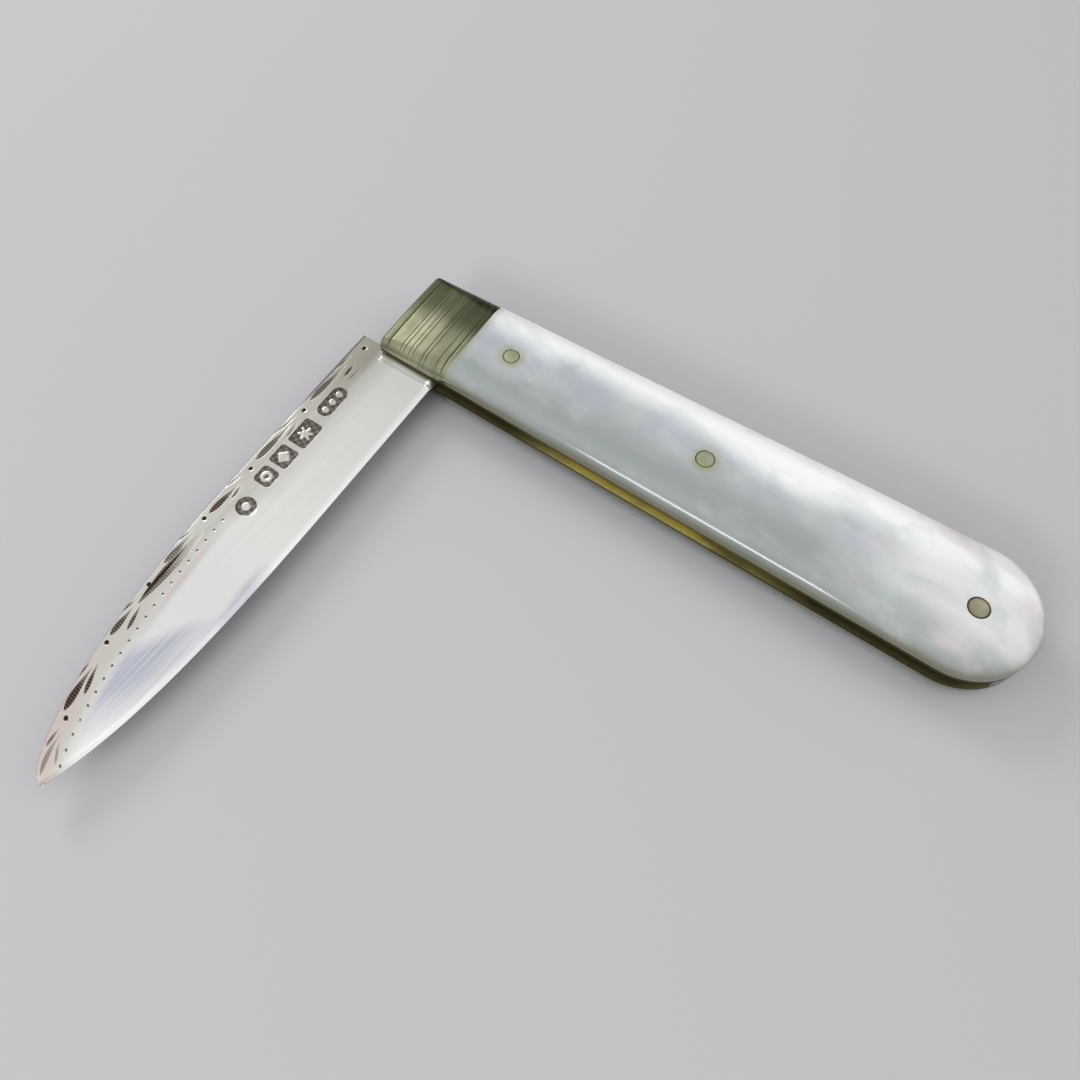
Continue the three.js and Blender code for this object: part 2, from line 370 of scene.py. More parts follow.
@dataclass(frozen=True)
class PolishedSilver(Finish):
    """Silver, ground and burnished along the blade: bright, with fine draw lines and warm toning."""

    # The polish mirrors the sky. Age leaves dark oxide in the cuts, a brown film over the border and heel,
    # and a faint rose film towards the tip. The cool blue tint near the tip is a painted reflection, and the
    # rounded spine is darkened with painted shade.
    oxide: Layer = Layer("#382820")
    film: Layer = Layer("#9C9584", (0.3, 0.62), (0.6, 1.0))
    blush: Layer = Layer("#C9B3AC")
    # Painted reflection: a cool tint laid on near the tip as colour.
    cool_reflection: Layer = Layer("#B3B6C3", (0.36, 0.64), (0.65, 1.0))
    film_cloud: Grain = Grain(7, (1, 3.5, 1), detail=2)
    # Real draw lines are some hundredths of a millimetre apart, too fine to show, so these are coarser.
    draw_line: Grain = Grain(0.25, (1, 60, 60), turn=2, detail=3)
    draw_depth: float = 0.0015

    def wire(self, tree: bpy.types.NodeTree, shader: bpy.types.Node) -> None:
        """Add the films, the painted cool reflection, the draw lines, and the dark oxide in the cuts, with
        painted shade on the spine.

        Args:
            tree: The material's node tree.
            shader: Its main shader.
        """
        marks = {
            name: add_node(tree, "ShaderNodeAttribute", {"attribute_name": name}).outputs["Fac"]
            for name in ("toning", "blush", "cool_reflection", "cut")
        }
        lines = self.draw_line.add(tree)
        clouds = self.film_cloud.add(tree)
        colour = self.lay(tree, to_linear(self.colour), self.film, clouds, marks["toning"])
        colour = self.lay(tree, colour, self.blush, marks["blush"])
        colour = self.lay(tree, colour, self.cool_reflection, lines, marks["cool_reflection"])
        colour = self.lay(tree, colour, self.oxide, marks["cut"])
        tree.links.new(colour, shader.inputs["Base Color"])
        self.wear(tree, shader, lines, self.draw_depth, marks["cut"])


@dataclass(frozen=True)
class WornNickelSilver(Finish):
    """Nickel silver, turned with reeds and rubbed to a satin: yellowish grey, with a painted dark reflection
    and darker parts.
    """

    # The alloy is greyer and yellower than silver. The hand rubs it to an even satin, and a dark green-brown
    # film stays in the grooves. A dark green is painted over the back half as a painted dark reflection, and
    # the block is darker past the milled band and on the plain band.
    groove: Layer = Layer("#3C3B24")
    tarnish: Layer = Layer("#83846A", (0.4, 0.68), (0.0, 0.6))
    # Painted dark reflection on the back half, and darkening past the milled band and on the plain band.
    darkening_and_reflection: Layer = Layer("#50543C")
    tarnish_cloud: Grain = Grain(2.4, detail=2)
    # Rubbing leaves hairlines that are too fine to show, so these are drawn half a millimetre apart.
    rubbing: Grain = Grain(0.5, (1, 30, 30), detail=2)
    rubbing_depth: float = 0.0002
    gloss_spread: tuple[float, float] = (0.97, 1.3)

    def wire(self, tree: bpy.types.NodeTree, shader: bpy.types.Node) -> None:
        """Add tarnish, darkening with a painted dark reflection, dark grooves and rubbing marks.

        Args:
            tree: The material's node tree.
            shader: Its main shader.
        """
        marks = {
            name: add_node(tree, "ShaderNodeAttribute", {"attribute_name": name}).outputs["Fac"]
            for name in ("darkening_and_reflection_mark", "cut")
        }
        colour = self.lay(tree, to_linear(self.colour), self.tarnish, self.tarnish_cloud.add(tree))
        colour = self.lay(tree, colour, self.darkening_and_reflection, marks["darkening_and_reflection_mark"])
        colour = self.lay(tree, colour, self.groove, marks["cut"])
        tree.links.new(colour, shader.inputs["Base Color"])
        self.wear(tree, shader, self.rubbing.add(tree), self.rubbing_depth, marks["cut"])


@dataclass(frozen=True)
class MotherOfPearl(Finish):
    """Mother-of-pearl, sawn from shell and polished: cloudy layers with green, blue and rose lights."""

    # Thin layers of shell lie at a slant, so the slab is white where they lie flat and grey where they dip,
    # with faint colours between and a clear gloss on top. Metal next to it stains it green. Its grey belly
    # and white back are partly the shell's colour and partly painted shade and painted light.
    blue: Layer = Layer("#A9AEBB", (0.42, 0.62), (0.0, 0.8))
    # Grey towards the belly: partly the shell's colour, partly painted shade.
    belly: Layer = Layer("#939B99", (1.0, -4.2))
    # Paler at the butt, where the belly rim stays grey as painted shade.
    pale_butt: Layer = Layer("#DCDDDC", (-6.0, -2.2), (0.15, 0.95))
    white_patch: Layer = Layer("#F3F5F5", (0.3, 0.6), (0.5, 1.0))
    # White towards the back: partly the shell's colour, partly painted light from the far side.
    white_back_and_light: Layer = Layer("#F3F5F5", (1.0, 4.6))
    green_light: Layer = Layer("#B9C8C2", (0.5, 0.66), (0.0, 0.5))
    rose_light: Layer = Layer("#DCCCD2", (0.5, 0.66), (0.0, 0.5))
    bright_ripple: Layer = Layer("#F3F5F5", (0.46, 0.7), (0.0, 0.1))
    dim_ripple: Layer = Layer("#939B99", (0.52, 0.3), (0.0, 0.2))
    pin_stain: Layer = Layer("#8F9650", (0.3, 0.65), (0.3, 0.9))
    joint_stain: Layer = Layer("#8F9650", amounts=(0.0, 0.4))
    # Darker near the liners: painted shade where the slab meets them and curves under, with some grime.
    liner_shade_and_grime: Layer = Layer("#66643F", (3.1, 1.7), (0.0, 0.85))
    across: Lie = Lie("Y", 3.2, Grain(9, (1.8, 1, 1), SHELL_TURN, 3, 0.6))
    along: Lie = Lie("X", 8.0, Grain(8, (1.3, 1, 1), SHELL_TURN, 3, 0.5, 5))
    near_joint: Lie = Lie("X", 0.6, Grain(1.5, detail=4))
    height: Lie = Lie("Z", 0.5, Grain(1.5, (3, 1, 1), detail=4))
    tint: Grain = Grain(6, (1.8, 1, 1), SHELL_TURN + 8, 3, 0.6, 7)
    green_cloud: Grain = Grain(5, (1.6, 1, 1), SHELL_TURN + 10, 3, 0.6, 15)
    rose_cloud: Grain = Grain(6, (1.6, 1, 1), SHELL_TURN + 10, 3, 0.6, 11)
    ripple: Grain = Grain(3.2, (2.0, 1, 1), SHELL_TURN - 20, 3, 0.5, 2)
    ripple_depth: float = 0.004
    ragged: Grain = Grain(2.2, detail=4)
    patch_place: Spot = Spot((4.5, 4.0), (9.5, 4.0), 0.3)
    butt_limits: tuple[float, float] = (9.0, 24.0)
    pin_places: tuple[tuple[float, float], ...] = ()
    stain_reach: float = 2.0
    stain_core: float = 0.5
    joint_place: float = -35.15
    joint_reach: float = 1.0
    mid_height: float = 3.55
    coat: float = 0.6
    coat_roughness: float = 0.1
    glow: float = 0.12
    glow_depth: float = 0.8
    glow_tint: tuple[float, float, float] = (1.0, 0.9, 0.8)

    def wire(self, tree: bpy.types.NodeTree, shader: bpy.types.Node) -> None:
        """Add the shell's layers, its lights, the stains round the pins, the painted light and shade across
        it, and painted shade with grime along the liners.

        Args:
            tree: The material's node tree.
            shader: Its main shader.
        """
        across = self.across.add(tree)
        ragged = self.ragged.add(tree)
        ripples = self.ripple.add(tree)
        ranged = {
            "Value": self.along.add(tree),
            "From Min": self.butt_limits[0],
            "From Max": self.butt_limits[1],
        }
        butt = add_node(tree, "ShaderNodeMapRange", {"interpolation_type": "SMOOTHSTEP"}, ranged).outputs[0]
        colour = self.lay(tree, to_linear(self.colour), self.blue, self.tint.add(tree))
        colour = self.lay(tree, colour, self.belly, across)
        colour = self.lay(tree, colour, self.pale_butt, across, butt)
        colour = self.lay(tree, colour, self.white_patch, ragged, self.patch_place.add(tree))
        colour = self.lay(tree, colour, self.white_back_and_light, across)
        for light, cloud in ((self.green_light, self.green_cloud), (self.rose_light, self.rose_cloud)):
            colour = self.lay(tree, colour, light, cloud.add(tree), butt)
        for ripple in (self.bright_ripple, self.dim_ripple):
            colour = self.lay(tree, colour, ripple, ripples)
        for place in self.pin_places:
            stain = Spot(place, (self.stain_reach, self.stain_reach), self.stain_core)
            colour = self.lay(tree, colour, self.pin_stain, ragged, stain.add(tree))
        seam = replace(self.joint_stain, limits=(self.joint_place + self.joint_reach, self.joint_place))
        colour = self.lay(tree, colour, seam, self.near_joint.add(tree))
        # Darker near the liners: painted shade with some grime, by height from the blade's mid plane.
        off_mid = add_node(
            tree,
            "ShaderNodeMath",
            {"operation": "SUBTRACT"},
            {0: self.height.add(tree), 1: self.mid_height},
        )
        level = add_node(tree, "ShaderNodeMath", {"operation": "ABSOLUTE"}, {0: off_mid.outputs[0]})
        colour = self.lay(tree, colour, self.liner_shade_and_grime, level.outputs[0])
        tree.links.new(colour, shader.inputs["Base Color"])
        gloss = {
            "Coat Weight": self.coat,
            "Coat Roughness": self.coat_roughness,
            "Subsurface Weight": self.glow,
            "Subsurface Radius": self.glow_tint,
            "Subsurface Scale": self.glow_depth * MM,
        }
        for socket, value in gloss.items():
            shader.inputs[socket].default_value = value
        self.wear(tree, shader, ripples, self.ripple_depth)


@dataclass(frozen=True)
class FiledBrass(Finish):
    """Sheet brass, filed to shape: golden in the middle, brown with age, darker at its ends and painted shade
    on its upright edges.
    """

    # The middle of the slot is golden. Age turns the brass brown in clouds, both ends are darker, and the
    # upright edges are darkened as painted shade, with some grime.
    brown: Layer = Layer("#75653A", (0.45, 0.7), (0.0, 0.5))
    # Darker towards both ends of the liner.
    end_darkening: Layer = Layer("#37331F", amounts=(0.0, 0.8))
    # Painted shade on the upright edges, with some grime.
    edge_shade_and_grime: Layer = Layer("#37331F", (0.7, 0.3), (0.0, 0.85))
    bright_from: float = -17.0
    bright_to: float = -3.0
    front_fade: float = 10.0
    butt_fade: float = 20.0
    cloud: Grain = Grain(2.6, (2.5, 1, 1), detail=4)
    ragged: float = 2.0
    # A smooth file's cuts are nearer to each other than this, and wouldn't show.
    file_mark: Grain = Grain(0.12, (1, 1, 12), turn=35)
    file_depth: float = 0.004

    def wire(self, tree: bpy.types.NodeTree, shader: bpy.types.Node) -> None:
        """Add brown toning, darker ends, painted shade on the upright edges and file marks.

        Args:
            tree: The material's node tree.
            shader: Its main shader.
        """
        colour = self.lay(tree, to_linear(self.colour), self.brown, self.cloud.add(tree))
        along = Lie("X", self.ragged, self.cloud).add(tree)
        for end, fade in ((self.bright_from, -self.front_fade), (self.bright_to, self.butt_fade)):
            colour = self.lay(tree, colour, replace(self.end_darkening, limits=(end, end + fade)), along)
        # Upright faces are darkened by the way they face: painted shade, with some grime.
        facing = add_node(tree, "ShaderNodeNewGeometry")
        split = add_node(tree, "ShaderNodeSeparateXYZ", {}, {0: facing.outputs["True Normal"]})
        flat = add_node(tree, "ShaderNodeMath", {"operation": "ABSOLUTE"}, {0: split.outputs["Z"]})
        colour = self.lay(tree, colour, self.edge_shade_and_grime, flat.outputs[0])
        tree.links.new(colour, shader.inputs["Base Color"])
        self.wear(tree, shader, self.file_mark.add(tree), self.file_depth)


@dataclass(frozen=True)
class PolishedSteel(Finish):
    """Spring steel, glazed along its length, with a few brown specks of rust."""

    # Glazing on a fine wheel leaves a grey shine with lines along the spring.
    rust: Layer = Layer("#5B4636", (0.56, 0.72), (0.0, 0.7))
    speck: Grain = Grain(1.2, detail=6)
    glaze: Grain = Grain(0.08, (40, 1, 1))
    glaze_depth: float = 0.002

    def wire(self, tree: bpy.types.NodeTree, shader: bpy.types.Node) -> None:
        """Add glazing lines and specks.

        Args:
            tree: The material's node tree.
            shader: Its main shader.
        """
        colour = self.lay(tree, to_linear(self.colour), self.rust, self.speck.add(tree))
        tree.links.new(colour, shader.inputs["Base Color"])
        self.wear(tree, shader, self.glaze.add(tree), self.glaze_depth)


@dataclass(frozen=True)
class MattPaper(Finish):
    """The plain pale sheet that the knife lies on."""

    # Uncoated paper scatters light evenly and has almost no shine.
    shine: float = 0.1

    def wire(self, tree: bpy.types.NodeTree, shader: bpy.types.Node) -> None:
        """Keep the sheet matt.

        Args:
            tree: The material's node tree.
            shader: Its main shader.
        """
        shader.inputs["Specular IOR Level"].default_value = self.shine


def grid_quads(rows: int, columns: int, start: int = 0, flip: bool = False) -> np.ndarray:
    """Quads of a grid whose points are numbered row by row.

    Args:
        rows: Number of rows of points.
        columns: Number of points in a row.
        start: Number of the first point.
        flip: Whether the quads face the other way.

    Returns:
        Point numbers, four to a quad.
    """
    corner = start + np.arange(rows - 1)[:, None] * columns + np.arange(columns - 1)[None, :]
    quads = np.stack([corner, corner + columns, corner + columns + 1, corner + 1], -1).reshape(-1, 4)
    return quads[:, ::-1] if flip else quads


def capped_rings(rings: int, count: int, flip: bool = False) -> list[list[int]]:
    """Faces that skin a row of closed rings and close both ends of it.

    Args:
        rings: Number of rings.
        count: Number of points in a ring.
        flip: Whether the faces face the other way.

    Returns:
        Point numbers of each face.
    """
    here = np.arange(rings - 1)[:, None] * count + np.arange(count)[None, :]
    beside = np.arange(rings - 1)[:, None] * count + (np.arange(count)[None, :] + 1) % count
    faces = np.stack([here, beside, beside + count, here + count], -1).reshape(-1, 4).tolist()
    last = (rings - 1) * count
    faces.append(list(range(count))[::-1])
    faces.append(list(range(last, last + count)))
    return [face[::-1] for face in faces] if flip else faces


def make_piece(
    name: str,
    points: np.ndarray,
    faces: Sequence[Sequence[int]],
    finish: Finish,
    sharp: float = 40.0,
    marks: dict[str, np.ndarray] | None = None,
) -> bpy.types.Object:
    """Make a mesh piece from points in millimetres.

    Args:
        name: Name of the piece.
        points: Its points, in millimetres.
        faces: Its faces, as point numbers.
        finish: Its finish.
        sharp: Angle in degrees past which an edge stays sharp.
        marks: Values per point that the finish reads, by name.

    Returns:
        The piece.
    """
    mesh = bpy.data.meshes.new(name)
    mesh.from_pydata((points * MM).tolist(), [], [list(map(int, face)) for face in faces])
    for mark, values in (marks or {}).items():
        layer = mesh.attributes.new(mark, "FLOAT", "POINT")
        layer.data.foreach_set("value", np.ascontiguousarray(values, dtype=np.float32).ravel())
    mesh.materials.append(finish.material())
    mesh.shade_smooth()
    mesh.set_sharp_from_angle(angle=math.radians(sharp))
    mesh.validate()
    piece = bpy.data.objects.new(name, mesh)
    bpy.context.scene.collection.objects.link(piece)
    return piece


def settle(piece: bpy.types.Object, body: Body, slot: Slot, *nodes: str) -> None:
    """Let a piece ride on its body and stand for its nodes.

    Args:
        piece: The piece.
        body: The body it moves with.
        slot: The record's material slot for it; not used.
        nodes: The nodes that it stands for.
    """
    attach(piece, body.value)
    if nodes:
        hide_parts(*nodes)
    LOG.info("%s: %d points on the %s", piece.name, len(piece.data.vertices), body.value)


def node_box(node: str) -> tuple[np.ndarray, np.ndarray]:
    """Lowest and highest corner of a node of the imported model, in millimetres."""
    low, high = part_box(node)
    return np.array(low) / MM, np.array(high) / MM


@dataclass
class HandlePlan:
    """Plan and layers of the handle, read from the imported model."""

    front: float
    end: float
    butt_radius: float
    bolster_end: float
    bolster_half: float
    thickness: float
    front_base: float
    slot_base: float
    slot_top: float
    pivot: tuple[float, float]

    @classmethod
    def from_frame(cls) -> "HandlePlan":
        """Read the handle's sizes from its nodes.

        Returns:
            The plan.
        """
        liner_low, liner_high = node_box("front_liner")
        _, rear_high = node_box("rear_liner")
        _, bolster_high = node_box("front_bolster")
        scale_low, scale_high = node_box("front_scale")
        joint = frame["record"]["behaviour"]["joints"][0]
        return cls(
            front=liner_low[0],
            end=liner_high[0],
            butt_radius=liner_high[1],
            bolster_end=bolster_high[0],
            bolster_half=bolster_high[1],
            thickness=scale_high[2],
            front_base=scale_low[2],
            slot_base=rear_high[2],
            slot_top=liner_low[2],
            pivot=(joint["pos_m"][0] / MM, joint["pos_m"][1] / MM),
        )

    @property
    def butt_centre(self) -> float:
        """Place of the round butt's centre along the handle."""
        return self.end - self.butt_radius

    @property
    def mid_height(self) -> float:
        """Height of the blade's mid plane."""
        return self.thickness / 2

    @property
    def scale_thickness(self) -> float:
        """Thickness of a scale."""
        return self.thickness - self.front_base

    @property
    def side_angle(self) -> float:
        """Angle between a side of the handle and its centre line.

        Returns:
            The angle in radians.
        """
        run = self.butt_centre - self.bolster_end
        reach = math.hypot(run, self.bolster_half)
        return math.asin(self.butt_radius / reach) - math.atan2(self.bolster_half, run)

    def half_width(self, x: Any) -> Any:
        """Half the handle's width at a place along its straight sides."""
        run = x - self.butt_centre
        return self.butt_radius / math.cos(self.side_angle) + run * math.tan(self.side_angle)

    def height(self, level: Any, side: Side) -> Any:
        """Height over the table of a level counted from the front's or the rear's liner."""
        return self.front_base + level if side is Side.FRONT else self.thickness - self.front_base - level


def ramp(value: np.ndarray, start: Any, full: Any) -> np.ndarray:
    """Rise evenly from 0 where a value is at its start to 1 where it is full."""
    return np.clip((value - start) / (full - start), 0, 1)


def smooth_step(value: np.ndarray, start: float, full: float) -> np.ndarray:
    """Rise smoothly from 0 where a value is at its start to 1 where it is full."""
    share = ramp(value, start, full)
    return share * share * (3 - 2 * share)


def edge_rounding(wall: float, top: float, steps: int) -> np.ndarray:
    """Share of the inset, and height, along a rounded edge from its foot to its flat top.

    Args:
        wall: Height of the upright part.
        top: Height of the flat top.
        steps: Number of steps.

    Returns:
        One row of share and height for each step.
    """
    angle = np.linspace(0, math.pi / 2, steps + 1)
    rounded = np.stack([1 - np.cos(angle), wall + (top - wall) * np.sin(angle)], -1)
    return np.concatenate([[[0.0, 0.0]], rounded])


@dataclass
class PearlScale:
    """A mother-of-pearl slab, domed towards its edge and most of all at the butt, drilled for its pins."""

    plan: HandlePlan
    side: Side
    finish: Finish
    wall: float = 0.5
    rounding: float = 2.5
    butt_rounding: float = 4.5
    butt_ease: float = 15.0
    steps: int = 28
    butt_steps: int = 96
    side_steps: int = 60
    pins: tuple[str, ...] = ("fore", "mid", "butt")
    pin_gap: float = 0.03
    countersink: float = 0.03
    hole_steps: int = 64
    sharp: float = 30.0

    def round_at(self, x: np.ndarray) -> np.ndarray:
        """How far in the rounding reaches at a place along the handle."""
        near = smooth_step(x, self.plan.butt_centre - self.butt_ease, self.plan.butt_centre)
        return self.rounding + (self.butt_rounding - self.rounding) * near

    def ring(self, share: float) -> np.ndarray:
        """Plan of the scale drawn in by a share of its rounding.

        Args:
            share: Share of the rounding.

        Returns:
            Points of the plan.
        """
        plan = self.plan
        x = np.linspace(plan.bolster_end, plan.butt_centre, self.side_steps, endpoint=False)
        half = plan.half_width(x) - share * self.round_at(x) / math.cos(plan.side_angle)
        sweep = math.pi / 2 + plan.side_angle
        angle = np.linspace(-sweep, sweep, self.butt_steps + 1)
        reach = plan.butt_radius - share * self.butt_rounding
        round_end = np.stack([plan.butt_centre + reach * np.cos(angle), reach * np.sin(angle)], -1)
        belly = np.stack([x, -half], -1)
        back = np.stack([x, half], -1)[::-1]
        return np.concatenate([belly, round_end, back])

    def build(self) -> bpy.types.Object:
        """Build the slab and drill it.

        Returns:
            The piece.
        """
        profile = edge_rounding(self.wall, self.plan.scale_thickness, self.steps)
        rings = []
        for share, level in profile:
            flat = self.ring(share)
            rings.append(np.column_stack([flat, np.full(len(flat), self.plan.height(level, self.side))]))
        faces = capped_rings(len(rings), len(rings[0]), flip=self.side is Side.REAR)
        name = f"{self.side.name.lower()}_pearl"
        piece = make_piece(name, np.concatenate(rings), faces, self.finish, self.sharp)
        self.drill(piece)
        settle(piece, Body.HANDLE, Slot.PEARL, f"{self.side.name.lower()}_scale")
        return piece

    def drill(self, piece: bpy.types.Object) -> None:
        """Cut the pins' holes, each with a small countersink.

        Args:
            piece: The slab.
        """
        for name in self.pins:
            node = "butt_pin" if name == "butt" else f"{self.side.name.lower()}_scale_{name}_pin"
            low, high = node_box(node)
            centre = (low + high) / 2
            radius = (high[0] - low[0]) / 2 + self.pin_gap
            face = self.plan.height(self.plan.scale_thickness, self.side)
            out = self.side.value
            # The cutter starts well past the slab's inner face.
            profile = [
                (radius, face - 2 * out * self.plan.scale_thickness),
                (radius, face - out * self.countersink),
                (radius + 2 * self.countersink, face + out * self.countersink),
            ]
            cutter = lathe("cutter", centre, profile, self.finish, self.hole_steps)
            cut = piece.modifiers.new("hole", "BOOLEAN")
            cut.operation = "DIFFERENCE"
            cut.solver = "EXACT"
            cut.object = cutter
            depsgraph = bpy.context.evaluated_depsgraph_get()
            drilled = bpy.data.meshes.new_from_object(piece.evaluated_get(depsgraph))
            piece.modifiers.clear()
            piece.data = drilled
            bpy.data.objects.remove(cutter)
        piece.data.set_sharp_from_angle(angle=math.radians(self.sharp))


def lathe(
    name: str,
    centre: Sequence[float],
    profile: Sequence[tuple[float, float]],
    finish: Finish,
    steps: int,
    marks: Sequence[float] = (),
) -> bpy.types.Object:
    """Turn a profile about an upright axis into a closed piece.

    Args:
        name: Name of the piece.
        centre: Place of the axis.
        profile: Radius and height from one end to the other.
        finish: Its finish.
        steps: Number of steps round.
        marks: How dark the finish is at each point of the profile.

    Returns:
        The piece.
    """
    angle = np.linspace(0, 2 * math.pi, steps, endpoint=False)
    rising = profile[-1][1] > profile[0][1]
    rows = list(profile) if rising else list(profile)[::-1]
    shade = list(marks) if rising else list(marks)[::-1]
    rings = [
        np.stack([
            centre[0] + radius * np.cos(angle),
            centre[1] + radius * np.sin(angle),
            np.full(steps, height),
        ], -1)
        for radius, height in rows
    ]
    layers = {"cut": np.repeat(np.array(shade), steps)} if shade else None
    return make_piece(name, np.concatenate(rings), capped_rings(len(rings), steps), finish, marks=layers)


@dataclass
class Bolster:
    """A domed nickel silver block over the pivot, with reeds and a milled band cut across it."""

    plan: HandlePlan
    side: Side
    finish: Finish
    wall: float = 0.5
    rounding: float = 2.5
    front_rounding: float = 0.9
    taper: float = 0.55
    sink: float = 0.05
    crown: float = 0.2
    front_ease: float = 0.5
    front_ease_depth: float = 0.3
    front_bead: float = 1.15
    front_shade: float = 0.3
    plain_band: float = 1.75
    line_pitch: float = 0.5
    line_group_pitch: float = 1.25
    milled_band: float = 1.3
    collar_length: float = 0.75
    collar_bead: float = 0.95
    line_width: float = 0.24
    line_depth: float = 0.004
    line_shade: float = 0.7
    deep_width: float = 0.34
    deep_depth: float = 0.02
    deep_shade: float = 0.75
    flank_shade: float = 0.2
    # Each darkening has a share and a ramp, counted from the middle line, the milled band or the first line.
    # The back half's darkening is a painted dark reflection.
    back_painted_reflection: float = 0.6
    back_ramp: tuple[float, float] = (-2.0, 2.0)
    collar_darkening: float = 0.42
    collar_ramp: tuple[float, float] = (0.6, 1.4)
    band_darkening: float = 0.36
    band_ramp: tuple[float, float] = (-0.6, 0.4)
    mill_pitch: float = 0.34
    mill_depth: float = 0.004
    mill_ease: float = 0.15
    mill_shade: float = 0.7
    mill_dark: tuple[float, float] = (0.3125, 0.9375)
    station_step: float = 0.05
    flank_steps: int = 20
    crown_steps: int = 190
    sharp: float = 35.0

    @property
    def length(self) -> float:
        """Length of the bolster along the handle."""
        return self.plan.bolster_end - self.plan.front

    @property
    def first_line(self) -> float:
        """Place of the first fine line, from the bolster's front end."""
        return self.front_bead + self.plain_band

    @property
    def mill_start(self) -> float:
        """Place where the milled band starts, from the bolster's front end."""
        return self.first_line + self.line_group_pitch + self.line_pitch

    def grooves(self) -> list[tuple[float, float, float, float]]:
        """Place, width, depth and darkness of each groove from the bolster's front end.

        Returns:
            The grooves.
        """
        mill_end = self.mill_start + self.milled_band
        collar = self.length - self.collar_length
        fine = [
            self.first_line,
            self.first_line + self.line_pitch,
            self.first_line + self.line_group_pitch,
            self.mill_start,
            mill_end,
            mill_end + self.line_pitch,
            collar - self.collar_bead,
        ]
        return [
            *((at, self.line_width, self.line_depth, self.line_shade) for at in fine),
            *((at, self.deep_width, self.deep_depth, self.deep_shade) for at in (self.front_bead, collar)),
        ]

    def milling(self, place: np.ndarray, y: np.ndarray) -> np.ndarray:
        """How deep the crossed cuts of the milled band are, as a share of their full depth.

        Args:
            place: Place of each section from the front end.
            y: Distance of each point from the handle's middle line.

        Returns:
            The share at each point.
        """
        mill_end = self.mill_start + self.milled_band
        fade = ramp(place, self.mill_start, self.mill_start + self.mill_ease)
        fade = fade * ramp(place, mill_end, mill_end - self.mill_ease)
        wave = 2 * math.pi / self.mill_pitch / math.sqrt(2)
        cross = np.sin(wave * (place[:, None] + y)) * np.sin(wave * (place[:, None] - y))
        return fade[:, None] * (1 - cross) / 2

    def toning(self, place: np.ndarray, y: np.ndarray) -> np.ndarray:
        """How much darker the metal is painted: on its back half as a painted dark reflection, past the
        milled band and on the plain band.

        Args:
            place: Place of each section from the front end.
            y: Distance of each point from the handle's middle line.

        Returns:
            The toning at each point.
        """
        back = self.back_painted_reflection * smooth_step(y, *self.back_ramp)
        collar = self.collar_darkening * smooth_step(place - self.mill_start, *self.collar_ramp)
        band = self.band_darkening * (1 - smooth_step(place - self.first_line, *self.band_ramp))
        return 1 - (1 - back) * ((1 - collar) * (1 - band))[:, None]

    def build(self) -> bpy.types.Object:
        """Build the block from its sections.

        Returns:
            The piece.
        """
        plan = self.plan
        place = np.linspace(0, self.length, round(self.length / self.station_step) + 1)
        sunk = self.front_ease_depth * ramp(place, self.front_ease, 0) ** 2
        dark = np.where(place < self.front_bead, self.front_shade, 0.0)
        for at, width, depth, shade in self.grooves():
            hollow = np.clip(1 - (np.abs(place - at) / (width / 2)) ** 2, 0, 1)
            sunk = np.maximum(sunk, depth * hollow)
            dark = np.maximum(dark, shade * hollow)
        top = plan.scale_thickness
        flank = edge_rounding(self.wall, top, self.flank_steps)
        half = plan.half_width(plan.front + place)[:, None]
        crown = np.linspace(1, -1, self.crown_steps + 1)[1:-1]
        to_scale = place / self.length
        rounding = (self.front_rounding + (self.rounding - self.front_rounding) * to_scale)[:, None]
        y = np.concatenate([
            half - rounding * flank[None, :, 0],
            (half - rounding) * crown[None, :],
            -(half - rounding * flank[None, ::-1, 0]),
        ], 1)
        rise = np.concatenate([flank[:, 1] / top, np.ones(len(crown)), flank[::-1, 1] / top])
        mill = self.milling(place, y)
        crest = (top - self.sink - self.taper * (1 - to_scale) - sunk)[:, None]
        level = rise * (crest - self.crown * (y / half) ** 2 - self.mill_depth * mill)
        line_dark = dark[:, None] * np.maximum(rise, self.flank_shade)[None, :]
        cut = np.maximum(line_dark, self.mill_shade * ramp(mill, *self.mill_dark))
        x = np.broadcast_to((plan.front + place)[:, None], y.shape)
        points = np.stack([x, y, plan.height(level, self.side)], -1).reshape(-1, 3)
        faces = capped_rings(*y.shape, flip=self.side is Side.REAR)
        # The second mark is the painted dark reflection on the back half, and darkening past the milled band
        # and on the plain band.
        marks = {"cut": cut, "darkening_and_reflection_mark": self.toning(place, y)}
        name = f"{self.side.name.lower()}_reeded_bolster"
        piece = make_piece(name, points, faces, self.finish, self.sharp, marks)
        settle(piece, Body.HANDLE, Slot.NICKEL_SILVER, f"{self.side.name.lower()}_bolster")
        return piece


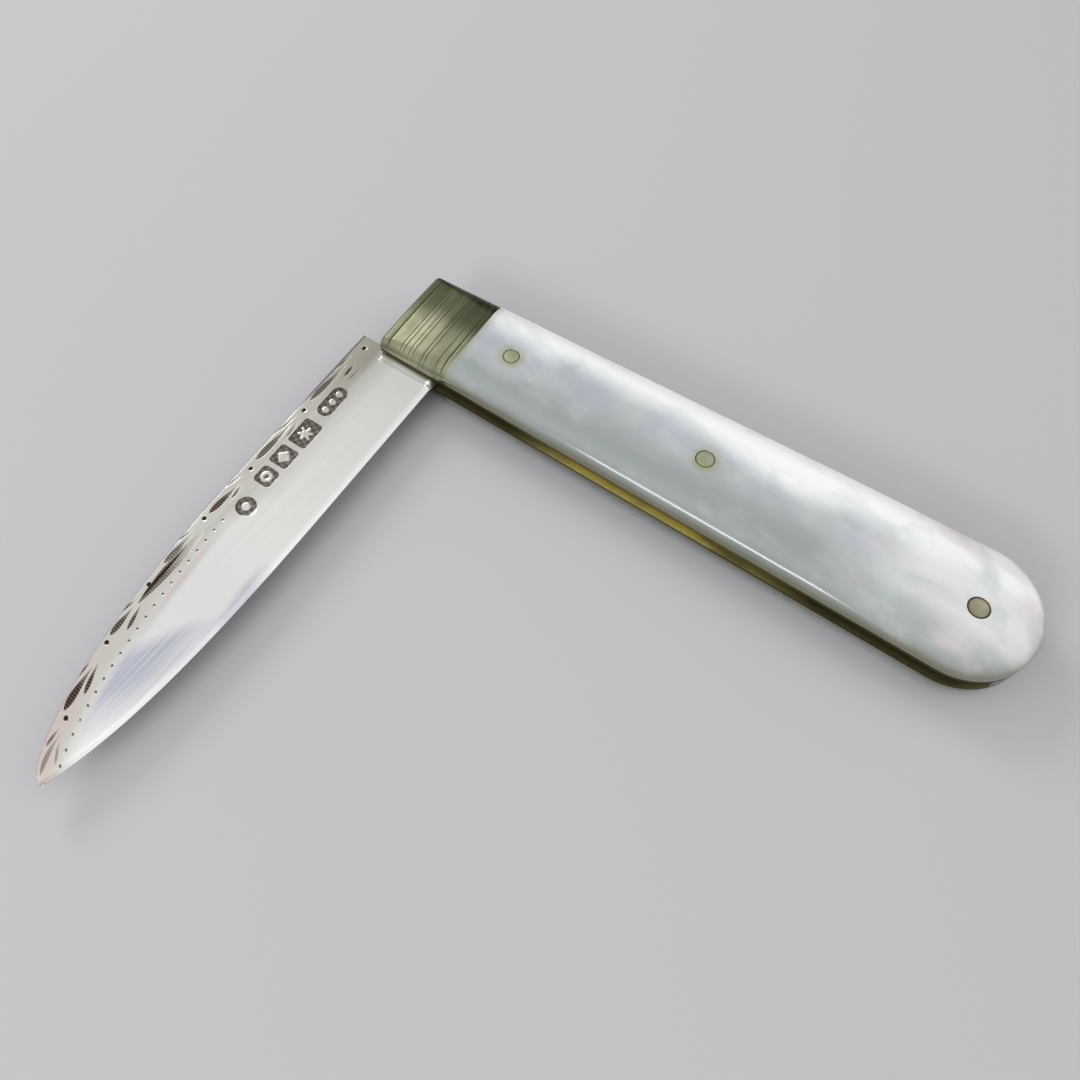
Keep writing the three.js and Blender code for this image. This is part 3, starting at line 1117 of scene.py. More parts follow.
@dataclass
class Pins:
    """The pins of the handle: peened heads dressed nearly flush, with a dark line round them."""

    plan: HandlePlan
    finish: Finish
    butt_finish: Finish
    dome: float = 0.05
    sunk: float = 0.05
    pivot_inset: float = 0.5
    steps: int = 48
    # From the rim to the middle: share of the radius, share of the dome's rise, and darkness.
    head_shape: tuple[tuple[float, float, float], ...] = (
        (1.0, -3.0, 1.0),
        (1.0, -1.0, 1.0),
        (0.93, -0.15, 0.8),
        (0.85, 0.25, 0.3),
        (0.6, 0.7, 0.0),
        (0.3, 0.95, 0.0),
        (0.02, 1.0, 0.0),
    )

    def head(self, radius: float, face: float, out: int) -> tuple[list[tuple[float, float]], list[float]]:
        """Profile of a peened head from its rim to its middle.

        Args:
            radius: Radius of the pin.
            face: Height of the face that it is dressed to.
            out: Which way the head faces, 1 up and -1 down.

        Returns:
            Radius and height of each point, and how dark it is.
        """
        profile = [
            (radius * part, face + out * (self.dome * rise - self.sunk))
            for part, rise, _ in self.head_shape
        ]
        return profile, [dark for _, _, dark in self.head_shape]

    def build(self) -> None:
        """Build every pin."""
        for side in Side:
            for name in ("fore", "mid"):
                self.build_short(side, f"{side.name.lower()}_scale_{name}_pin")
        self.build_butt()
        self.build_pivot()

    def build_short(self, side: Side, node: str) -> None:
        """Build a short pin that holds a scale to its liner.

        Args:
            side: The side that it is on.
            node: The node that it stands for.
        """
        low, high = node_box(node)
        face = self.plan.height(self.plan.scale_thickness, side)
        inner = low[2] if side is Side.FRONT else high[2]
        profile, dark = self.head((high[0] - low[0]) / 2, face, side.value)
        profile.insert(0, (profile[0][0], inner))
        dark.insert(0, 1.0)
        pin = lathe(f"{node}_peened", (low + high) / 2, profile, self.finish, self.steps, dark)
        settle(pin, Body.HANDLE, Slot.NICKEL_SILVER, node)

    def build_butt(self) -> None:
        """Build the pin right through the butt, with a head at each end."""
        low, high = node_box("butt_pin")
        radius = (high[0] - low[0]) / 2
        top, top_dark = self.head(radius, self.plan.thickness, Side.FRONT.value)
        foot, foot_dark = self.head(radius, 0.0, Side.REAR.value)
        profile = foot[::-1] + top
        dark = foot_dark[::-1] + top_dark
        pin = lathe("butt_pin_peened", (low + high) / 2, profile, self.butt_finish, self.steps, dark)
        settle(pin, Body.HANDLE, Slot.NICKEL_SILVER, "butt_pin")

    def build_pivot(self) -> None:
        """Build the pivot, which ends inside the bolsters."""
        low, high = node_box("pivot_pin")
        radius = (high[0] - low[0]) / 2
        profile = [(radius, low[2] + self.pivot_inset), (radius, high[2] - self.pivot_inset)]
        pivot = lathe("pivot_pin_core", (low + high) / 2, profile, self.finish, self.steps)
        settle(pivot, Body.HANDLE, Slot.NICKEL_SILVER, "pivot_pin")


@dataclass(frozen=True)
class FigureSizes:
    """Sizes of the plain raised figures."""

    pellet_radius: float = 0.42
    pellet_pitch: float = 1.3
    rosette_radius: float = 0.68
    rosette_wave: float = 0.26
    petals: int = 6
    lozenge_half: float = 0.62
    ring_radius: float = 0.5
    ring_half: float = 0.2
    boss_radius: float = 0.5


class Figure(Enum):
    """Plain raised figures for the punched panels."""

    PELLETS = "three pellets"
    ROSETTE = "rosette"
    LOZENGE = "lozenge"
    RING = "ring"
    BOSS = "boss"

    def inside(self, a: np.ndarray, b: np.ndarray, sizes: FigureSizes) -> np.ndarray:
        """How far inside the figure's outline each point lies.

        Args:
            a: Distance along the blade from the panel's middle.
            b: Distance across the blade from it.
            sizes: Sizes of the figures.

        Returns:
            Distance inside, negative outside.
        """
        away = np.hypot(a, b)
        if self is Figure.PELLETS:
            steps = (-sizes.pellet_pitch, 0.0, sizes.pellet_pitch)
            return np.max([sizes.pellet_radius - np.hypot(a - step, b) for step in steps], axis=0)
        if self is Figure.ROSETTE:
            return sizes.rosette_radius + sizes.rosette_wave * np.cos(sizes.petals * np.arctan2(b, a)) - away
        if self is Figure.LOZENGE:
            return sizes.lozenge_half - (np.abs(a) + np.abs(b)) / math.sqrt(2)
        if self is Figure.RING:
            return sizes.ring_half - np.abs(away - sizes.ring_radius)
        return sizes.boss_radius - away


@dataclass
class Leaf:
    """One graver cut of the border, from a fine start to a full end: places are reach and distance in."""

    start: tuple[float, float]
    end: tuple[float, float]
    width: float
    depth: float = 0.1
    dark: float = 0.9
    peak: float = 0.74
    # A graver's chatter marks are finer than this, and wouldn't show.
    chatter: float = 0.3
    swell: ClassVar[float] = 0.66
    fullness: ClassVar[float] = 0.65
    lip: ClassVar[float] = 0.07
    least_half: ClassVar[float] = 0.01
    depth_share: ClassVar[float] = 0.3
    chatter_depth: ClassVar[float] = 0.3
    chatter_shade: ClassVar[float] = 0.32
    start_dark: ClassVar[float] = 0.35
    dark_rise: ClassVar[float] = 1.2
    most_dark: ClassVar[float] = 1.05

    def cut(self, u: np.ndarray, d: np.ndarray) -> tuple[np.ndarray, np.ndarray]:
        """Depth of the cut, and how dark the oxide in it is.

        Args:
            u: Reach of each point along the blade.
            d: Distance of each point from the spine.

        Returns:
            Depth and darkness at each point.
        """
        along = np.array(self.end) - np.array(self.start)
        length = float(np.hypot(*along))
        ahead = along / length
        run = ((u - self.start[0]) * ahead[0] + (d - self.start[1]) * ahead[1]) / length
        off = (d - self.start[1]) * ahead[0] - (u - self.start[0]) * ahead[1]
        t = np.clip(run, 0, 1)
        power = math.log(0.5) / math.log(self.peak)
        full = self.swell * self.width
        half = full * np.clip(np.sin(math.pi * t ** power), 0, 1) ** self.fullness
        inside = ramp(half - np.abs(off), 0, self.lip) * ((run > 0) & (run < 1))
        hollow = np.clip(1 - (off / np.maximum(half, self.least_half)) ** 2, 0, 1)
        ribs = 0.5 + 0.5 * np.sin(2 * math.pi * run * length / self.chatter)
        deepest = self.depth_share * self.depth * np.sqrt(half / full)
        depth = deepest * hollow * (1 - self.chatter_depth * ribs)
        oxide = np.clip(self.start_dark + self.dark_rise * t, 0, self.most_dark)
        dark = self.dark * inside * oxide * (1 - self.chatter_shade * ribs)
        return depth * (inside > 0), dark


@dataclass
class Panel:
    """One punched panel: where it lies, its size, how round its corners are and its plain figure."""

    reach: float
    inset: float
    length: float
    width: float
    corner: float
    figure: Figure


@dataclass
class Engraving:
    """The cut border along the spine, its row of pricked dots and five plain punched panels."""

    # From the heel to the tip, mostly in groups of a thin leaf, a broad one and a side one.
    leaves: tuple[Leaf, ...] = (
        Leaf((7.5, 1.1), (11.8, 0.2), 0.34, 0.06, 0.7),
        Leaf((8.6, 1.15), (16.6, 0.75), 0.62, 0.08, 0.85),
        Leaf((8.6, 1.75), (11.6, 1.95), 0.38, 0.07, 0.9),
        Leaf((8.0, 2.95), (12.0, 2.65), 0.3, 0.04, 0.65),
        Leaf((18.5, 1.0), (22.6, 0.15), 0.34, 0.07, 0.7),
        Leaf((19.2, 1.1), (26.4, 0.8), 0.66, 0.1, 0.85),
        Leaf((18.6, 1.3), (22.2, 1.75), 0.32, 0.06, 0.7),
        Leaf((28.0, 1.0), (31.0, 0.25), 0.3, 0.08, 0.6),
        Leaf((28.8, 1.4), (34.5, 0.95), 0.62, 0.1, 0.95),
        Leaf((28.9, 1.5), (31.7, 1.85), 0.32, 0.08, 0.8),
        Leaf((36.2, 0.95), (38.9, 0.15), 0.28, 0.06, 0.7),
        Leaf((36.2, 1.1), (41.8, 0.6), 0.58, 0.09, 0.8),
        Leaf((36.4, 1.9), (46.8, 1.1), 1.0, 0.13, 0.8, 0.45),
        Leaf((37.8, 1.5), (46.2, 1.0), 0.32, 0.2, 1.8, 0.6, 0.22),
        Leaf((45.6, 0.85), (48.5, 0.0), 0.3, 0.09, 0.9),
        Leaf((46.2, 1.0), (50.9, 0.6), 0.58, 0.1, 0.9),
        Leaf((45.6, 1.35), (49.5, 1.88), 0.4, 0.09, 0.9),
        Leaf((53.2, 0.6), (56.2, 0.0), 0.3, 0.09, 0.95),
        Leaf((53.3, 1.0), (59.2, 0.65), 0.68, 0.12, 1.0),
        Leaf((52.8, 1.1), (56.9, 1.78), 0.44, 0.1, 0.95),
        Leaf((59.9, 1.3), (62.7, 0.5), 0.3, 0.08, 0.75),
        Leaf((59.9, 1.65), (65.0, 0.65), 0.46, 0.08, 0.6),
        Leaf((60.8, 1.5), (63.5, 2.15), 0.3, 0.06, 0.6),
    )
    pellets: tuple[tuple[float, float], ...] = (
        (6.9, 1.35),
        (18.0, 1.0),
        (27.5, 1.05),
        (35.2, 0.9),
        (44.4, 0.75),
        (51.6, 0.75),
        (59.6, 1.25),
    )
    pellet_radius: float = 0.32
    pellet_depth: float = 0.08
    spine_land: float = 0.1
    dots_from: float = 34.2
    dots_to: float = 63.3
    dots: int = 21
    dot_inset: float = 2.75
    dot_radius: float = 0.19
    dot_depth: float = 0.042
    pit_dark: float = 0.95
    pit_dark_depth: float = 0.055
    pit_dark_gain: float = 1.8
    panel_depth: float = 0.06
    panel_slope: float = 0.16
    # The panels' dark reaches this far past their edge: oxide, and painted shade that dims the glint on the
    # rim.
    panel_rim: float = 0.12
    panel_dark: float = 0.85
    panel_wall_dark: float = 0.85
    panel_wear: float = 0.22
    panel_wear_waves: tuple[tuple[float, float], ...] = ((7.1, 2.3), (-1.9, 6.3))
    figure_rise: float = 0.8
    figure_bright: float = 0.85
    figure_sizes: FigureSizes = FigureSizes()
    panels: tuple[Panel, ...] = (
        Panel(15.2, 3.05, 4.4, 2.0, 0.9, Figure.PELLETS),
        Panel(20.4, 3.2, 3.6, 2.5, 0.35, Figure.ROSETTE),
        Panel(24.2, 3.15, 2.6, 2.5, 0.35, Figure.LOZENGE),
        Panel(27.3, 3.2, 2.3, 2.3, 0.5, Figure.RING),
        Panel(31.5, 3.8, 2.4, 2.4, 1.2, Figure.BOSS),
    )

    def border(self, u: np.ndarray, d: np.ndarray) -> tuple[np.ndarray, np.ndarray]:
        """Depth and darkness of the leaves, pellets and dots.

        Args:
            u: Reach of each point along the blade.
            d: Distance of each point from the spine.

        Returns:
            Depth and darkness at each point.
        """
        depth = np.zeros_like(u)
        dark = np.zeros_like(u)
        for leaf in self.leaves:
            near = (u > leaf.start[0]) & (u < leaf.end[0])
            cut, shade = leaf.cut(u[near], d[near])
            depth[near] = np.maximum(depth[near], cut)
            dark[near] = np.maximum(dark[near], shade)
        pits = [(*pellet, self.pellet_radius, self.pellet_depth) for pellet in self.pellets]
        for reach in np.linspace(self.dots_from, self.dots_to, self.dots):
            pits.append((reach, self.dot_inset, self.dot_radius, self.dot_depth))
        for reach, inset, radius, deep in pits:
            share = np.clip(1 - (np.hypot(u - reach, d - inset) / radius) ** 2, 0, 1)
            most = min(self.pit_dark, deep / self.pit_dark_depth)
            depth = np.maximum(depth, deep * share)
            dark = np.maximum(dark, most * np.clip(self.pit_dark_gain * share, 0, 1))
        inside = ramp(d, self.spine_land, 2 * self.spine_land)
        return depth * inside, dark * inside

    def punched(self, u: np.ndarray, d: np.ndarray) -> tuple[np.ndarray, np.ndarray]:
        """Depth and darkness of the punched panels, each with a plain raised figure.

        Args:
            u: Reach of each point along the blade.
            d: Distance of each point from the spine.

        Returns:
            Depth and darkness at each point.
        """
        depth = np.zeros_like(u)
        dark = np.zeros_like(u)
        for panel in self.panels:
            a = u - panel.reach
            b = d - panel.inset
            outside = np.hypot(
                np.maximum(np.abs(a) - panel.length / 2 + panel.corner, 0),
                np.maximum(np.abs(b) - panel.width / 2 + panel.corner, 0),
            )
            sunk = np.clip((panel.corner - outside) / self.panel_slope, 0, 1)
            rim = np.clip((panel.corner + self.panel_rim - outside) / self.panel_slope, 0, 1)
            raised = np.clip(panel.figure.inside(a, b, self.figure_sizes) / self.panel_slope + 0.5, 0, 1)
            waves = [np.sin(along * a + across * b) for along, across in self.panel_wear_waves]
            worn = 1 - self.panel_wear * (0.5 + 0.5 * np.prod(waves, axis=0))
            floor = self.panel_dark * worn * rim * (1 - self.figure_bright * raised)
            wall = self.panel_wall_dark * 4 * sunk * (1 - sunk)
            depth = np.maximum(depth, self.panel_depth * sunk * (1 - self.figure_rise * raised))
            dark = np.maximum(dark, np.maximum(floor, wall))
        return depth, dark


@dataclass
class ToningAndPaintedLight:
    """Where the silver has toned, where painted shade dulls the spine and where a painted reflection lies
    near the tip: each patch has its share and ramps of reach and of distance in.

    A ramp is the place where a patch starts and the place where it is full.
    """

    spine_ramp: tuple[float, float] = (0.6, 0.35)
    # Painted shade that dims the glint on the rounded spine.
    spine_shade: float = 0.4
    spine_shade_reach: tuple[float, float] = (40.0, 34.0)
    heel_dull: float = 0.3
    heel_dull_reach: tuple[float, float] = (19.0, 16.0)
    heel_film: float = 0.54
    heel_film_reach: tuple[float, float] = (16.0, 9.0)
    heel_film_ramp: tuple[float, float] = (3.9, 3.0)
    border_film: float = 0.46
    border_film_end: float = 4.2
    border_film_fade: float = 1.8
    panels_reach: tuple[float, float] = (34.0, 28.0)
    panels_widening: float = 2.2
    panels_softening: float = 1.2
    blush: float = 0.6
    blush_centre: tuple[float, float] = (42.0, 3.5)
    blush_half: tuple[float, float] = (11.0, 0.8)
    tip_blush: float = 0.5
    tip_blush_reach: tuple[float, float] = (48.0, 58.0)
    tip_blush_ramp: tuple[float, float] = (3.0, 1.5)
    field_start: float = 3.0
    field_ramp: tuple[float, float] = (2.9, 3.7)
    # A painted reflection: a cool patch near the tip, a strip along the edge and a dim part between.
    cool_reach: tuple[float, float] = (50.0, 53.0)
    cool_reach_slant: float = 1.4
    cool_end: tuple[float, float] = (62.5, 56.5)
    cool_end_slant: float = 1.3
    cool_edge_ramp: tuple[float, float] = (7.0, 9.0)
    cool_edge_loss: float = 0.5
    strip: float = 0.8
    strip_ramp: tuple[float, float] = (9.2, 10.0)
    strip_reach: tuple[float, float] = (35.0, 39.0)
    strip_end: tuple[float, float] = (47.0, 43.0)
    dim: float = 0.2
    dim_reach: tuple[float, float] = (33.0, 42.0)
    dim_end: tuple[float, float] = (56.0, 50.0)

    def spine(self, u: np.ndarray, d: np.ndarray) -> np.ndarray:
        """How dark and matt the rounded spine is, most of all near the heel: painted shade that dims its
        glint, with toning at the heel.
        """
        dull = self.spine_shade * ramp(u, *self.spine_shade_reach)
        return ramp(d, *self.spine_ramp) * (dull + self.heel_dull * ramp(u, *self.heel_dull_reach))

    def film(self, u: np.ndarray, d: np.ndarray) -> np.ndarray:
        """How strong the brown film is along the border, round the panels and at the heel.

        Args:
            u: Reach of each point along the blade.
            d: Distance of each point from the spine.

        Returns:
            Its strength at each point.
        """
        stamped = ramp(u, *self.panels_reach)
        end = self.border_film_end + self.panels_widening * stamped
        fade = self.border_film_fade + self.panels_softening * stamped
        heel = ramp(u, *self.heel_film_reach) * ramp(d, *self.heel_film_ramp)
        return self.border_film * ramp(d, end, end - fade) + self.heel_film * heel

    def rosy(self, u: np.ndarray, d: np.ndarray) -> np.ndarray:
        """How strong the rosy film is beside the dots and on the tip's back.

        Args:
            u: Reach of each point along the blade.
            d: Distance of each point from the spine.

        Returns:
            Its strength at each point.
        """
        along = ramp(np.abs(u - self.blush_centre[0]), self.blush_half[0], 0)
        across = ramp(np.abs(d - self.blush_centre[1]), self.blush_half[1], 0)
        tip = ramp(u, *self.tip_blush_reach) * ramp(d, *self.tip_blush_ramp)
        return np.maximum(self.blush * along * across, self.tip_blush * tip)

    def cool_reflection(self, u: np.ndarray, d: np.ndarray) -> np.ndarray:
        """How strong the painted reflection is near the tip, with a strip along the edge and a dim part
        between.

        Args:
            u: Reach of each point along the blade.
            d: Distance of each point from the spine.

        Returns:
            Its strength at each point.
        """
        in_field = d - self.field_start
        off_border = ramp(d, *self.field_ramp)
        patch = ramp(u + self.cool_reach_slant * in_field, *self.cool_reach)
        patch = patch * ramp(u + self.cool_end_slant * in_field, *self.cool_end)
        patch = patch * off_border * (1 - self.cool_edge_loss * ramp(d, *self.cool_edge_ramp))
        strip = ramp(d, *self.strip_ramp) * ramp(u, *self.strip_reach) * ramp(u, *self.strip_end)
        dim = ramp(u, *self.dim_reach) * ramp(u, *self.dim_end) * off_border
        return np.maximum(patch, np.maximum(self.strip * strip, self.dim * dim))


@dataclass
class Blade:
    """The silver blade: ground body with its cut border, and the tang that turns on the pivot."""

    plan: HandlePlan
    finish: Finish
    engraving: Engraving = field(default_factory=Engraving)
    toning: ToningAndPaintedLight = field(default_factory=ToningAndPaintedLight)
    reach: float = 65.7
    spine_offset: float = 8.26
    edge_offset: float = 3.15
    tip_offset: float = 1.0
    tip_blunt: float = 0.7
    tip_round: float = 0.5
    tip_close: float = 0.999
    spine_sweep: float = 34.8
    edge_sweep: float = 38.6
    spine_pull: tuple[float, float, float] = (0.39, 0.093, 0.667)
    edge_pull: tuple[float, float, float] = (0.574, 0.199, 0.683)
    heel: float = 5.4
    ricasso: float = 7.3
    kick: float = 4.7
    kick_room: float = 0.9
    tang_half: float = 3.7
    tang_round: float = 0.6
    tang_overlap: float = 0.2
    side_clearance: float = 0.05
    ricasso_step: float = 0.1
    ricasso_slope: float = 0.12
    plain_inset: float = 3.9
    plain_slope: float = 0.07
    tip_thickness: float = 0.7
    bevel_width: float = 0.55
    bevel_thickness: float = 0.45
    edge_thickness: float = 0.12
    spine_round: float = 0.35
    curve_steps: int = 600
    column_step: float = 0.08
    tip_columns: int = 15
    border_rows: int = 78
    field_rows: int = 24
    border_share: float = 0.42
    corner_steps: int = 8
    sharp: float = 60.0

    def curve(self, side: float, sweep: float, end: float, pull: tuple[float, float, float]) -> np.ndarray:
        """Points of the curve from a straight side of the blade to its tip.

        Args:
            side: Offset of the straight side from the pivot's line.
            sweep: Length over which it curves.
            end: Offset of its end at the tip.
            pull: How strongly the curve leaves the side, rises at the tip and spreads there.

        Returns:
            Reach and offset of each point.
        """
        start_pull, rise, wide = pull
        begin = self.reach - sweep
        controls = np.array([
            (begin, side),
            (begin + start_pull * sweep, side),
            (self.reach - rise * sweep, end + wide * (side - end)),
            (self.reach, end),
        ])
        t = np.linspace(0, 1, self.curve_steps)[:, None]
        weights = np.hstack([(1 - t) ** 3, 3 * (1 - t) ** 2 * t, 3 * (1 - t) * t ** 2, t ** 3])
        return weights @ controls

    def outline(self, u: np.ndarray) -> tuple[np.ndarray, np.ndarray]:
        """Offsets of the spine and the edge at each reach.

        Args:
            u: Reach from the pivot.

        Returns:
            Offset of the spine and of the edge.
        """
        tip_spine = -self.tip_offset - self.tip_blunt / 2
        tip_edge = -self.tip_offset + self.tip_blunt / 2
        spine_curve = self.curve(-self.spine_offset, self.spine_sweep, tip_spine, self.spine_pull)
        edge_curve = self.curve(self.edge_offset, self.edge_sweep, tip_edge, self.edge_pull)
        spine = np.interp(u, spine_curve[:, 0], spine_curve[:, 1])
        edge = np.interp(u, edge_curve[:, 0], edge_curve[:, 1])
        flare = ramp(u, self.ricasso, self.kick)
        edge = edge + flare * (self.tang_half - self.edge_offset)
        past = np.clip((u - self.reach + self.tip_round) / self.tip_round, 0, self.tip_close)
        middle = (spine + edge) / 2
        close = np.sqrt(1 - past ** 2)
        return middle + (spine - middle) * close, middle + (edge - middle) * close

    def build(self) -> None:
        """Build the blade's body and its tang."""
        self.build_body()
        self.build_tang()

    def build_body(self) -> None:
        """Build the ground body with the border on both faces and the panels on the front."""
        plain = np.arange(self.heel, self.reach - 2 * self.tip_round, self.column_step)
        turn = np.linspace(0, math.pi / 2, self.tip_columns + 1)[1:]
        last = plain[-1]
        u = np.concatenate([plain, last + (self.reach - last) * np.sin(turn)])
        share = np.concatenate([
            np.linspace(0, self.border_share, self.border_rows, endpoint=False),
            np.linspace(self.border_share, 1, self.field_rows),
        ])
        spine, edge = self.outline(u)
        width = edge - spine
        d = share[None, :] * width[:, None]
        v = spine[:, None] + d
        reach = np.broadcast_to(u[:, None], v.shape)
        base = self.half_thickness(reach, d, width[:, None])
        border, border_dark = self.engraving.border(reach, d)
        punched, punched_dark = self.engraving.punched(reach, d)
        mid = self.plan.mid_height
        x = self.plan.pivot[0] + v
        y = self.plan.pivot[1] - reach
        front = np.stack([x, y, mid + base - np.maximum(border, punched)], -1).reshape(-1, 3)
        rear = np.stack([x, y, mid - base + border], -1).reshape(-1, 3)
        # The spine's share of the dark is painted shade that dims its glint, with toning at the heel.
        rear_dark = np.maximum(border_dark, self.toning.spine(reach, d))
        front_dark = np.maximum(rear_dark, punched_dark)
        marks = {
            "cut": np.clip(np.stack([front_dark, rear_dark]), 0, 1),
            "toning": np.stack([self.toning.film(reach, d)] * 2),
            "blush": np.stack([self.toning.rosy(reach, d)] * 2),
            "cool_reflection": np.stack([self.toning.cool_reflection(reach, d)] * 2),
        }
        points = np.concatenate([front, rear])
        faces = self.body_faces(*v.shape)
        piece = make_piece("engraved_blade", points, faces, self.finish, self.sharp, marks)
        settle(piece, Body.BLADE, Slot.SILVER, "blade")

    def body_faces(self, rows: int, columns: int) -> np.ndarray:
        """Faces of the body: its front, its rear and the rim between them.

        Args:
            rows: Number of rows of points in each face.
            columns: Number of points in a row.

        Returns:
            Point numbers, four to a quad.
        """
        count = rows * columns
        number = np.arange(count).reshape(rows, columns)
        rim = np.concatenate([number[:, 0], number[-1, 1:], number[-2::-1, -1], number[0, -2:0:-1]])
        around = np.roll(rim, -1)
        return np.concatenate([
            grid_quads(rows, columns),
            grid_quads(rows, columns, count, True),
            np.stack([rim, rim + count, around + count, around], -1)[:, ::-1],
        ])

    def half_thickness(self, reach: np.ndarray, d: np.ndarray, width: np.ndarray) -> np.ndarray:
        """Half the blade's thickness at each point.

        Args:
            reach: Reach from the pivot.
            d: Distance from the spine.
            width: Width of the blade there.

        Returns:
            Height of the face over the mid plane.
        """
        room = self.plan.slot_top - self.plan.slot_base
        tang = room - 2 * self.side_clearance
        run = ramp(reach, self.heel, self.reach)
        thick = (tang - 2 * self.ricasso_step) * (1 - run) + self.tip_thickness * run
        bevel = np.minimum(self.bevel_width, width / 2)
        flank = np.clip(d / np.maximum(width - bevel, TINY), 0, 1)
        lip = np.clip((d - (width - bevel)) / np.maximum(bevel, TINY), 0, 1)
        total = thick + (self.bevel_thickness - thick) * flank
        total = total + (self.edge_thickness - self.bevel_thickness) * lip
        raised = ramp(reach, self.ricasso, self.ricasso - self.ricasso_slope)
        raised = raised * ramp(d, self.plain_inset, self.plain_inset + self.plain_slope)
        total = total + (tang - total) * raised * (1 - lip)
        near = ramp(d, self.spine_round, 0)
        return total / 2 - self.spine_round * (1 - np.sqrt(1 - near ** 2))

    def build_tang(self) -> None:
        """Build the square tang that lies between the liners."""
        near = self.tang_half - self.tang_round
        angle = np.linspace(0, math.pi / 2, self.corner_steps + 1)
        far = near + self.tang_round * np.cos(angle)
        side = near + self.tang_round * np.sin(angle)
        foot = [
            (-self.tang_half, -self.heel - self.tang_overlap),
            (self.tang_half, -self.heel + self.kick_room),
        ]
        plan = np.concatenate([np.stack([far, side], -1), np.stack([-side, far], -1), foot])
        half = (self.plan.slot_top - self.plan.slot_base) / 2 - self.side_clearance
        rings = [
            np.column_stack([
                self.plan.pivot[0] + plan[:, 0],
                self.plan.pivot[1] + plan[:, 1],
                np.full(len(plan), self.plan.mid_height + level),
            ])
            for level in (-half, half)
        ]
        piece = make_piece("blade_tang", np.concatenate(rings), capped_rings(2, len(plan)), self.finish)
        settle(piece, Body.BLADE, Slot.SILVER, "blade")


@dataclass(frozen=True)
class Lamp:
    """A soft lamp: its place, its width and height in millimetres and its power in watts."""

    name: str
    place: tuple[float, float, float]
    size: tuple[float, float]
    power: float


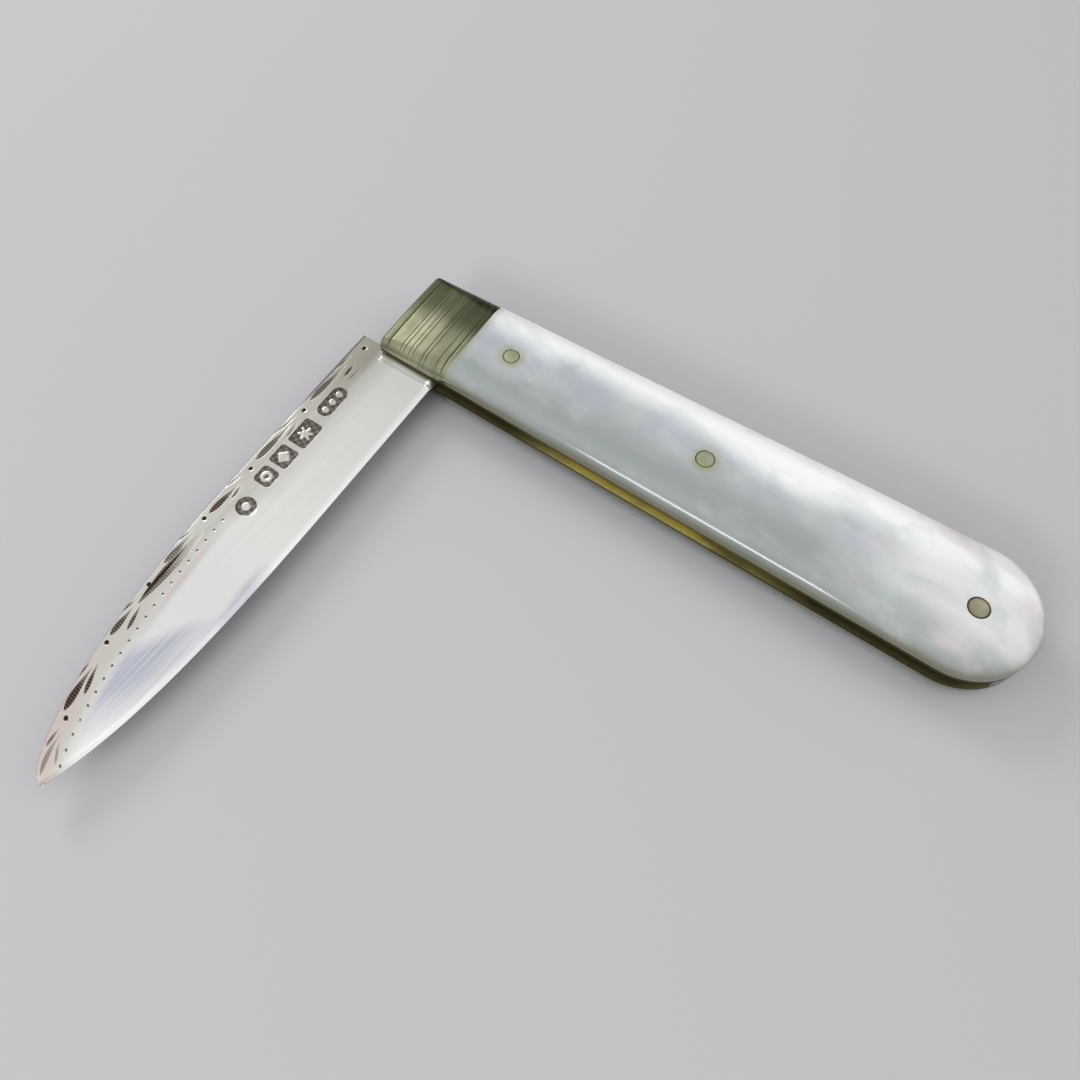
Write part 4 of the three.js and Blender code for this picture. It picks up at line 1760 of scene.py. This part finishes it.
@dataclass
class Studio:
    """The pale floor, the soft light and the camera at the photograph's angle."""

    floor_finish: Finish
    azimuth: float = 33.06
    elevation: float = 63.64
    distance: float = 103.17
    target: tuple[float, float] = (-15.74, -15.46)
    focal_pixels: float = 900.0
    frame_pixels: float = 1080.0
    sensor: float = 36.0
    floor_reach: float = 900.0
    floor_gap: float = 0.01
    near_clip: float = 5.0
    sky_strength: float = 1.25
    # Brightness from behind the camera, 0, to the far side, 1. The two ends come first.
    sky: tuple[tuple[float, str], ...] = (
        (0.0, "#808081"),
        (1.0, "#4C4C4C"),
        (0.25, "#BCBCBD"),
        (0.45, "#FFFFFF"),
        (0.5, "#FFFFFF"),
        (0.58, "#EEEEEF"),
        (0.65, "#E4E4E4"),
        (0.7, "#DCDCDC"),
        (0.79, "#CBCBCA"),
        (0.83, "#4E4E4D"),
    )
    lamps: tuple[Lamp, ...] = (
        Lamp("left_window", (-480, 180, 330), (220, 220), 1.1),
        Lamp("near_strip", (-53, -410, 260), (196, 100), 0.55),
    )

    def build(self) -> None:
        """Build the floor, the world, the lamps and the camera."""
        self.build_floor()
        self.build_world()
        self.build_lamps()
        self.build_camera()

    def build_floor(self) -> None:
        """Lay the floor that the knife rests on."""
        reach = self.floor_reach
        corners = ((-reach, -reach), (reach, -reach), (reach, reach), (-reach, reach))
        points = np.array([(*corner, -self.floor_gap) for corner in corners])
        floor = make_piece("floor", points, [(0, 1, 2, 3)], self.floor_finish)

    def build_world(self) -> None:
        """Surround the knife with a soft sky: dim behind the camera, white overhead, dark far off."""
        world = bpy.data.worlds.new("soft_sky")
        world.use_nodes = True
        bpy.context.scene.world = world
        tree = world.node_tree
        sky = tree.nodes["Background"]
        place = add_node(tree, "ShaderNodeTexCoord")
        azimuth = math.radians(self.azimuth)
        away = (-math.sin(azimuth), math.cos(azimuth), 0.0)
        ahead = add_node(
            tree,
            "ShaderNodeVectorMath",
            {"operation": "DOT_PRODUCT"},
            {0: place.outputs["Generated"], 1: away},
        )
        share = add_node(
            tree,
            "ShaderNodeMath",
            {"operation": "MULTIPLY_ADD"},
            {0: ahead.outputs["Value"], 1: 0.5, 2: 0.5},
        )
        sky_ramp = add_node(tree, "ShaderNodeValToRGB", {}, {"Fac": share.outputs[0]}, self.sky)
        tree.links.new(sky_ramp.outputs["Color"], sky.inputs["Color"])
        sky.inputs["Strength"].default_value = self.sky_strength

    def build_lamps(self) -> None:
        """Hang the soft lamps, each turned to the knife."""
        for lamp in self.lamps:
            data = bpy.data.lights.new(lamp.name, "AREA")
            data.shape = "RECTANGLE"
            data.size = lamp.size[0] * MM
            data.size_y = lamp.size[1] * MM
            data.energy = lamp.power
            hung = bpy.data.objects.new(lamp.name, data)
            hung.location = Vector(lamp.place) * MM
            hung.rotation_euler = (-Vector(lamp.place)).to_track_quat("-Z", "Y").to_euler()
            bpy.context.scene.collection.objects.link(hung)

    def build_camera(self) -> None:
        """Set the camera where the photograph was taken from."""
        azimuth = math.radians(self.azimuth)
        elevation = math.radians(self.elevation)
        back = Vector((
            math.sin(azimuth) * math.cos(elevation),
            -math.cos(azimuth) * math.cos(elevation),
            math.sin(elevation),
        ))
        data = bpy.data.cameras.new("photo_camera")
        data.sensor_width = self.sensor
        data.lens = self.focal_pixels / self.frame_pixels * self.sensor
        data.clip_start = self.near_clip * MM
        camera = bpy.data.objects.new("photo_camera", data)
        camera.location = (Vector((*self.target, 0)) + back * self.distance) * MM
        camera.rotation_euler = back.to_track_quat("Z", "Y").to_euler()
        bpy.context.scene.collection.objects.link(camera)
        bpy.context.scene.camera = camera
        bpy.context.scene.view_settings.view_transform = "Standard"


def dress_node(node: str, finish: Finish) -> None:
    """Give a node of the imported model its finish.

    Args:
        node: Name of the node.
        finish: The finish.
    """
    piece = frame["nodes"][node]
    piece.data.materials.clear()
    piece.data.materials.append(finish.material())
    LOG.info("%s: dressed in %s", node, finish.name)


def main() -> None:
    """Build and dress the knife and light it."""
    logging.basicConfig(level=logging.INFO, format="%(name)s %(message)s")
    plan = HandlePlan.from_frame()
    silver = PolishedSilver("polished_silver", "#E6E6E3", 0.16, 1.0)
    white_metal = WornNickelSilver("worn_nickel_silver", "#A9A990", 0.29, 1.0)
    peened = WornNickelSilver(
        "peened_nickel_silver",
        "#B4B6A0",
        0.45,
        1.0,
        groove=Layer("#8E8F5C"),
        tarnish=replace(WornNickelSilver.tarnish, colour="#9A9B80"),
    )
    browned = WornNickelSilver(
        "browned_nickel_silver",
        "#AFAD96",
        0.4,
        1.0,
        groove=Layer("#553B28"),
        tarnish=replace(WornNickelSilver.tarnish, colour="#857C60"),
    )
    # The brass is paler than real brass: painted light that brightens its face in the shaded slot.
    brass = FiledBrass("filed_brass", "#FBF0A2", 0.5, 1.0)
    steel = PolishedSteel("polished_spring_steel", "#9A9B9C", 0.3, 1.0)
    paper = MattPaper("matt_paper", "#BDBDC0", 0.9, 0.0)
    stained = [node_box(f"front_scale_{name}_pin") for name in ("fore", "mid")]
    pearl = MotherOfPearl(
        "mother_of_pearl",
        "#B7BBBB",
        0.16,
        0.0,
        pin_places=tuple(tuple((low + high)[:2] / 2) for low, high in stained),
        joint_place=plan.bolster_end,
        mid_height=plan.mid_height,
    )
    for side in Side:
        PearlScale(plan, side, pearl).build()
        Bolster(plan, side, white_metal).build()
        dress_node(f"{side.name.lower()}_liner", brass)
    Pins(plan, peened, browned).build()
    Blade(plan, silver).build()
    dress_node("backspring", steel)
    dress_node("spring_pin", steel)
    Studio(paper).build()


if __name__ == "__main__":
    main()
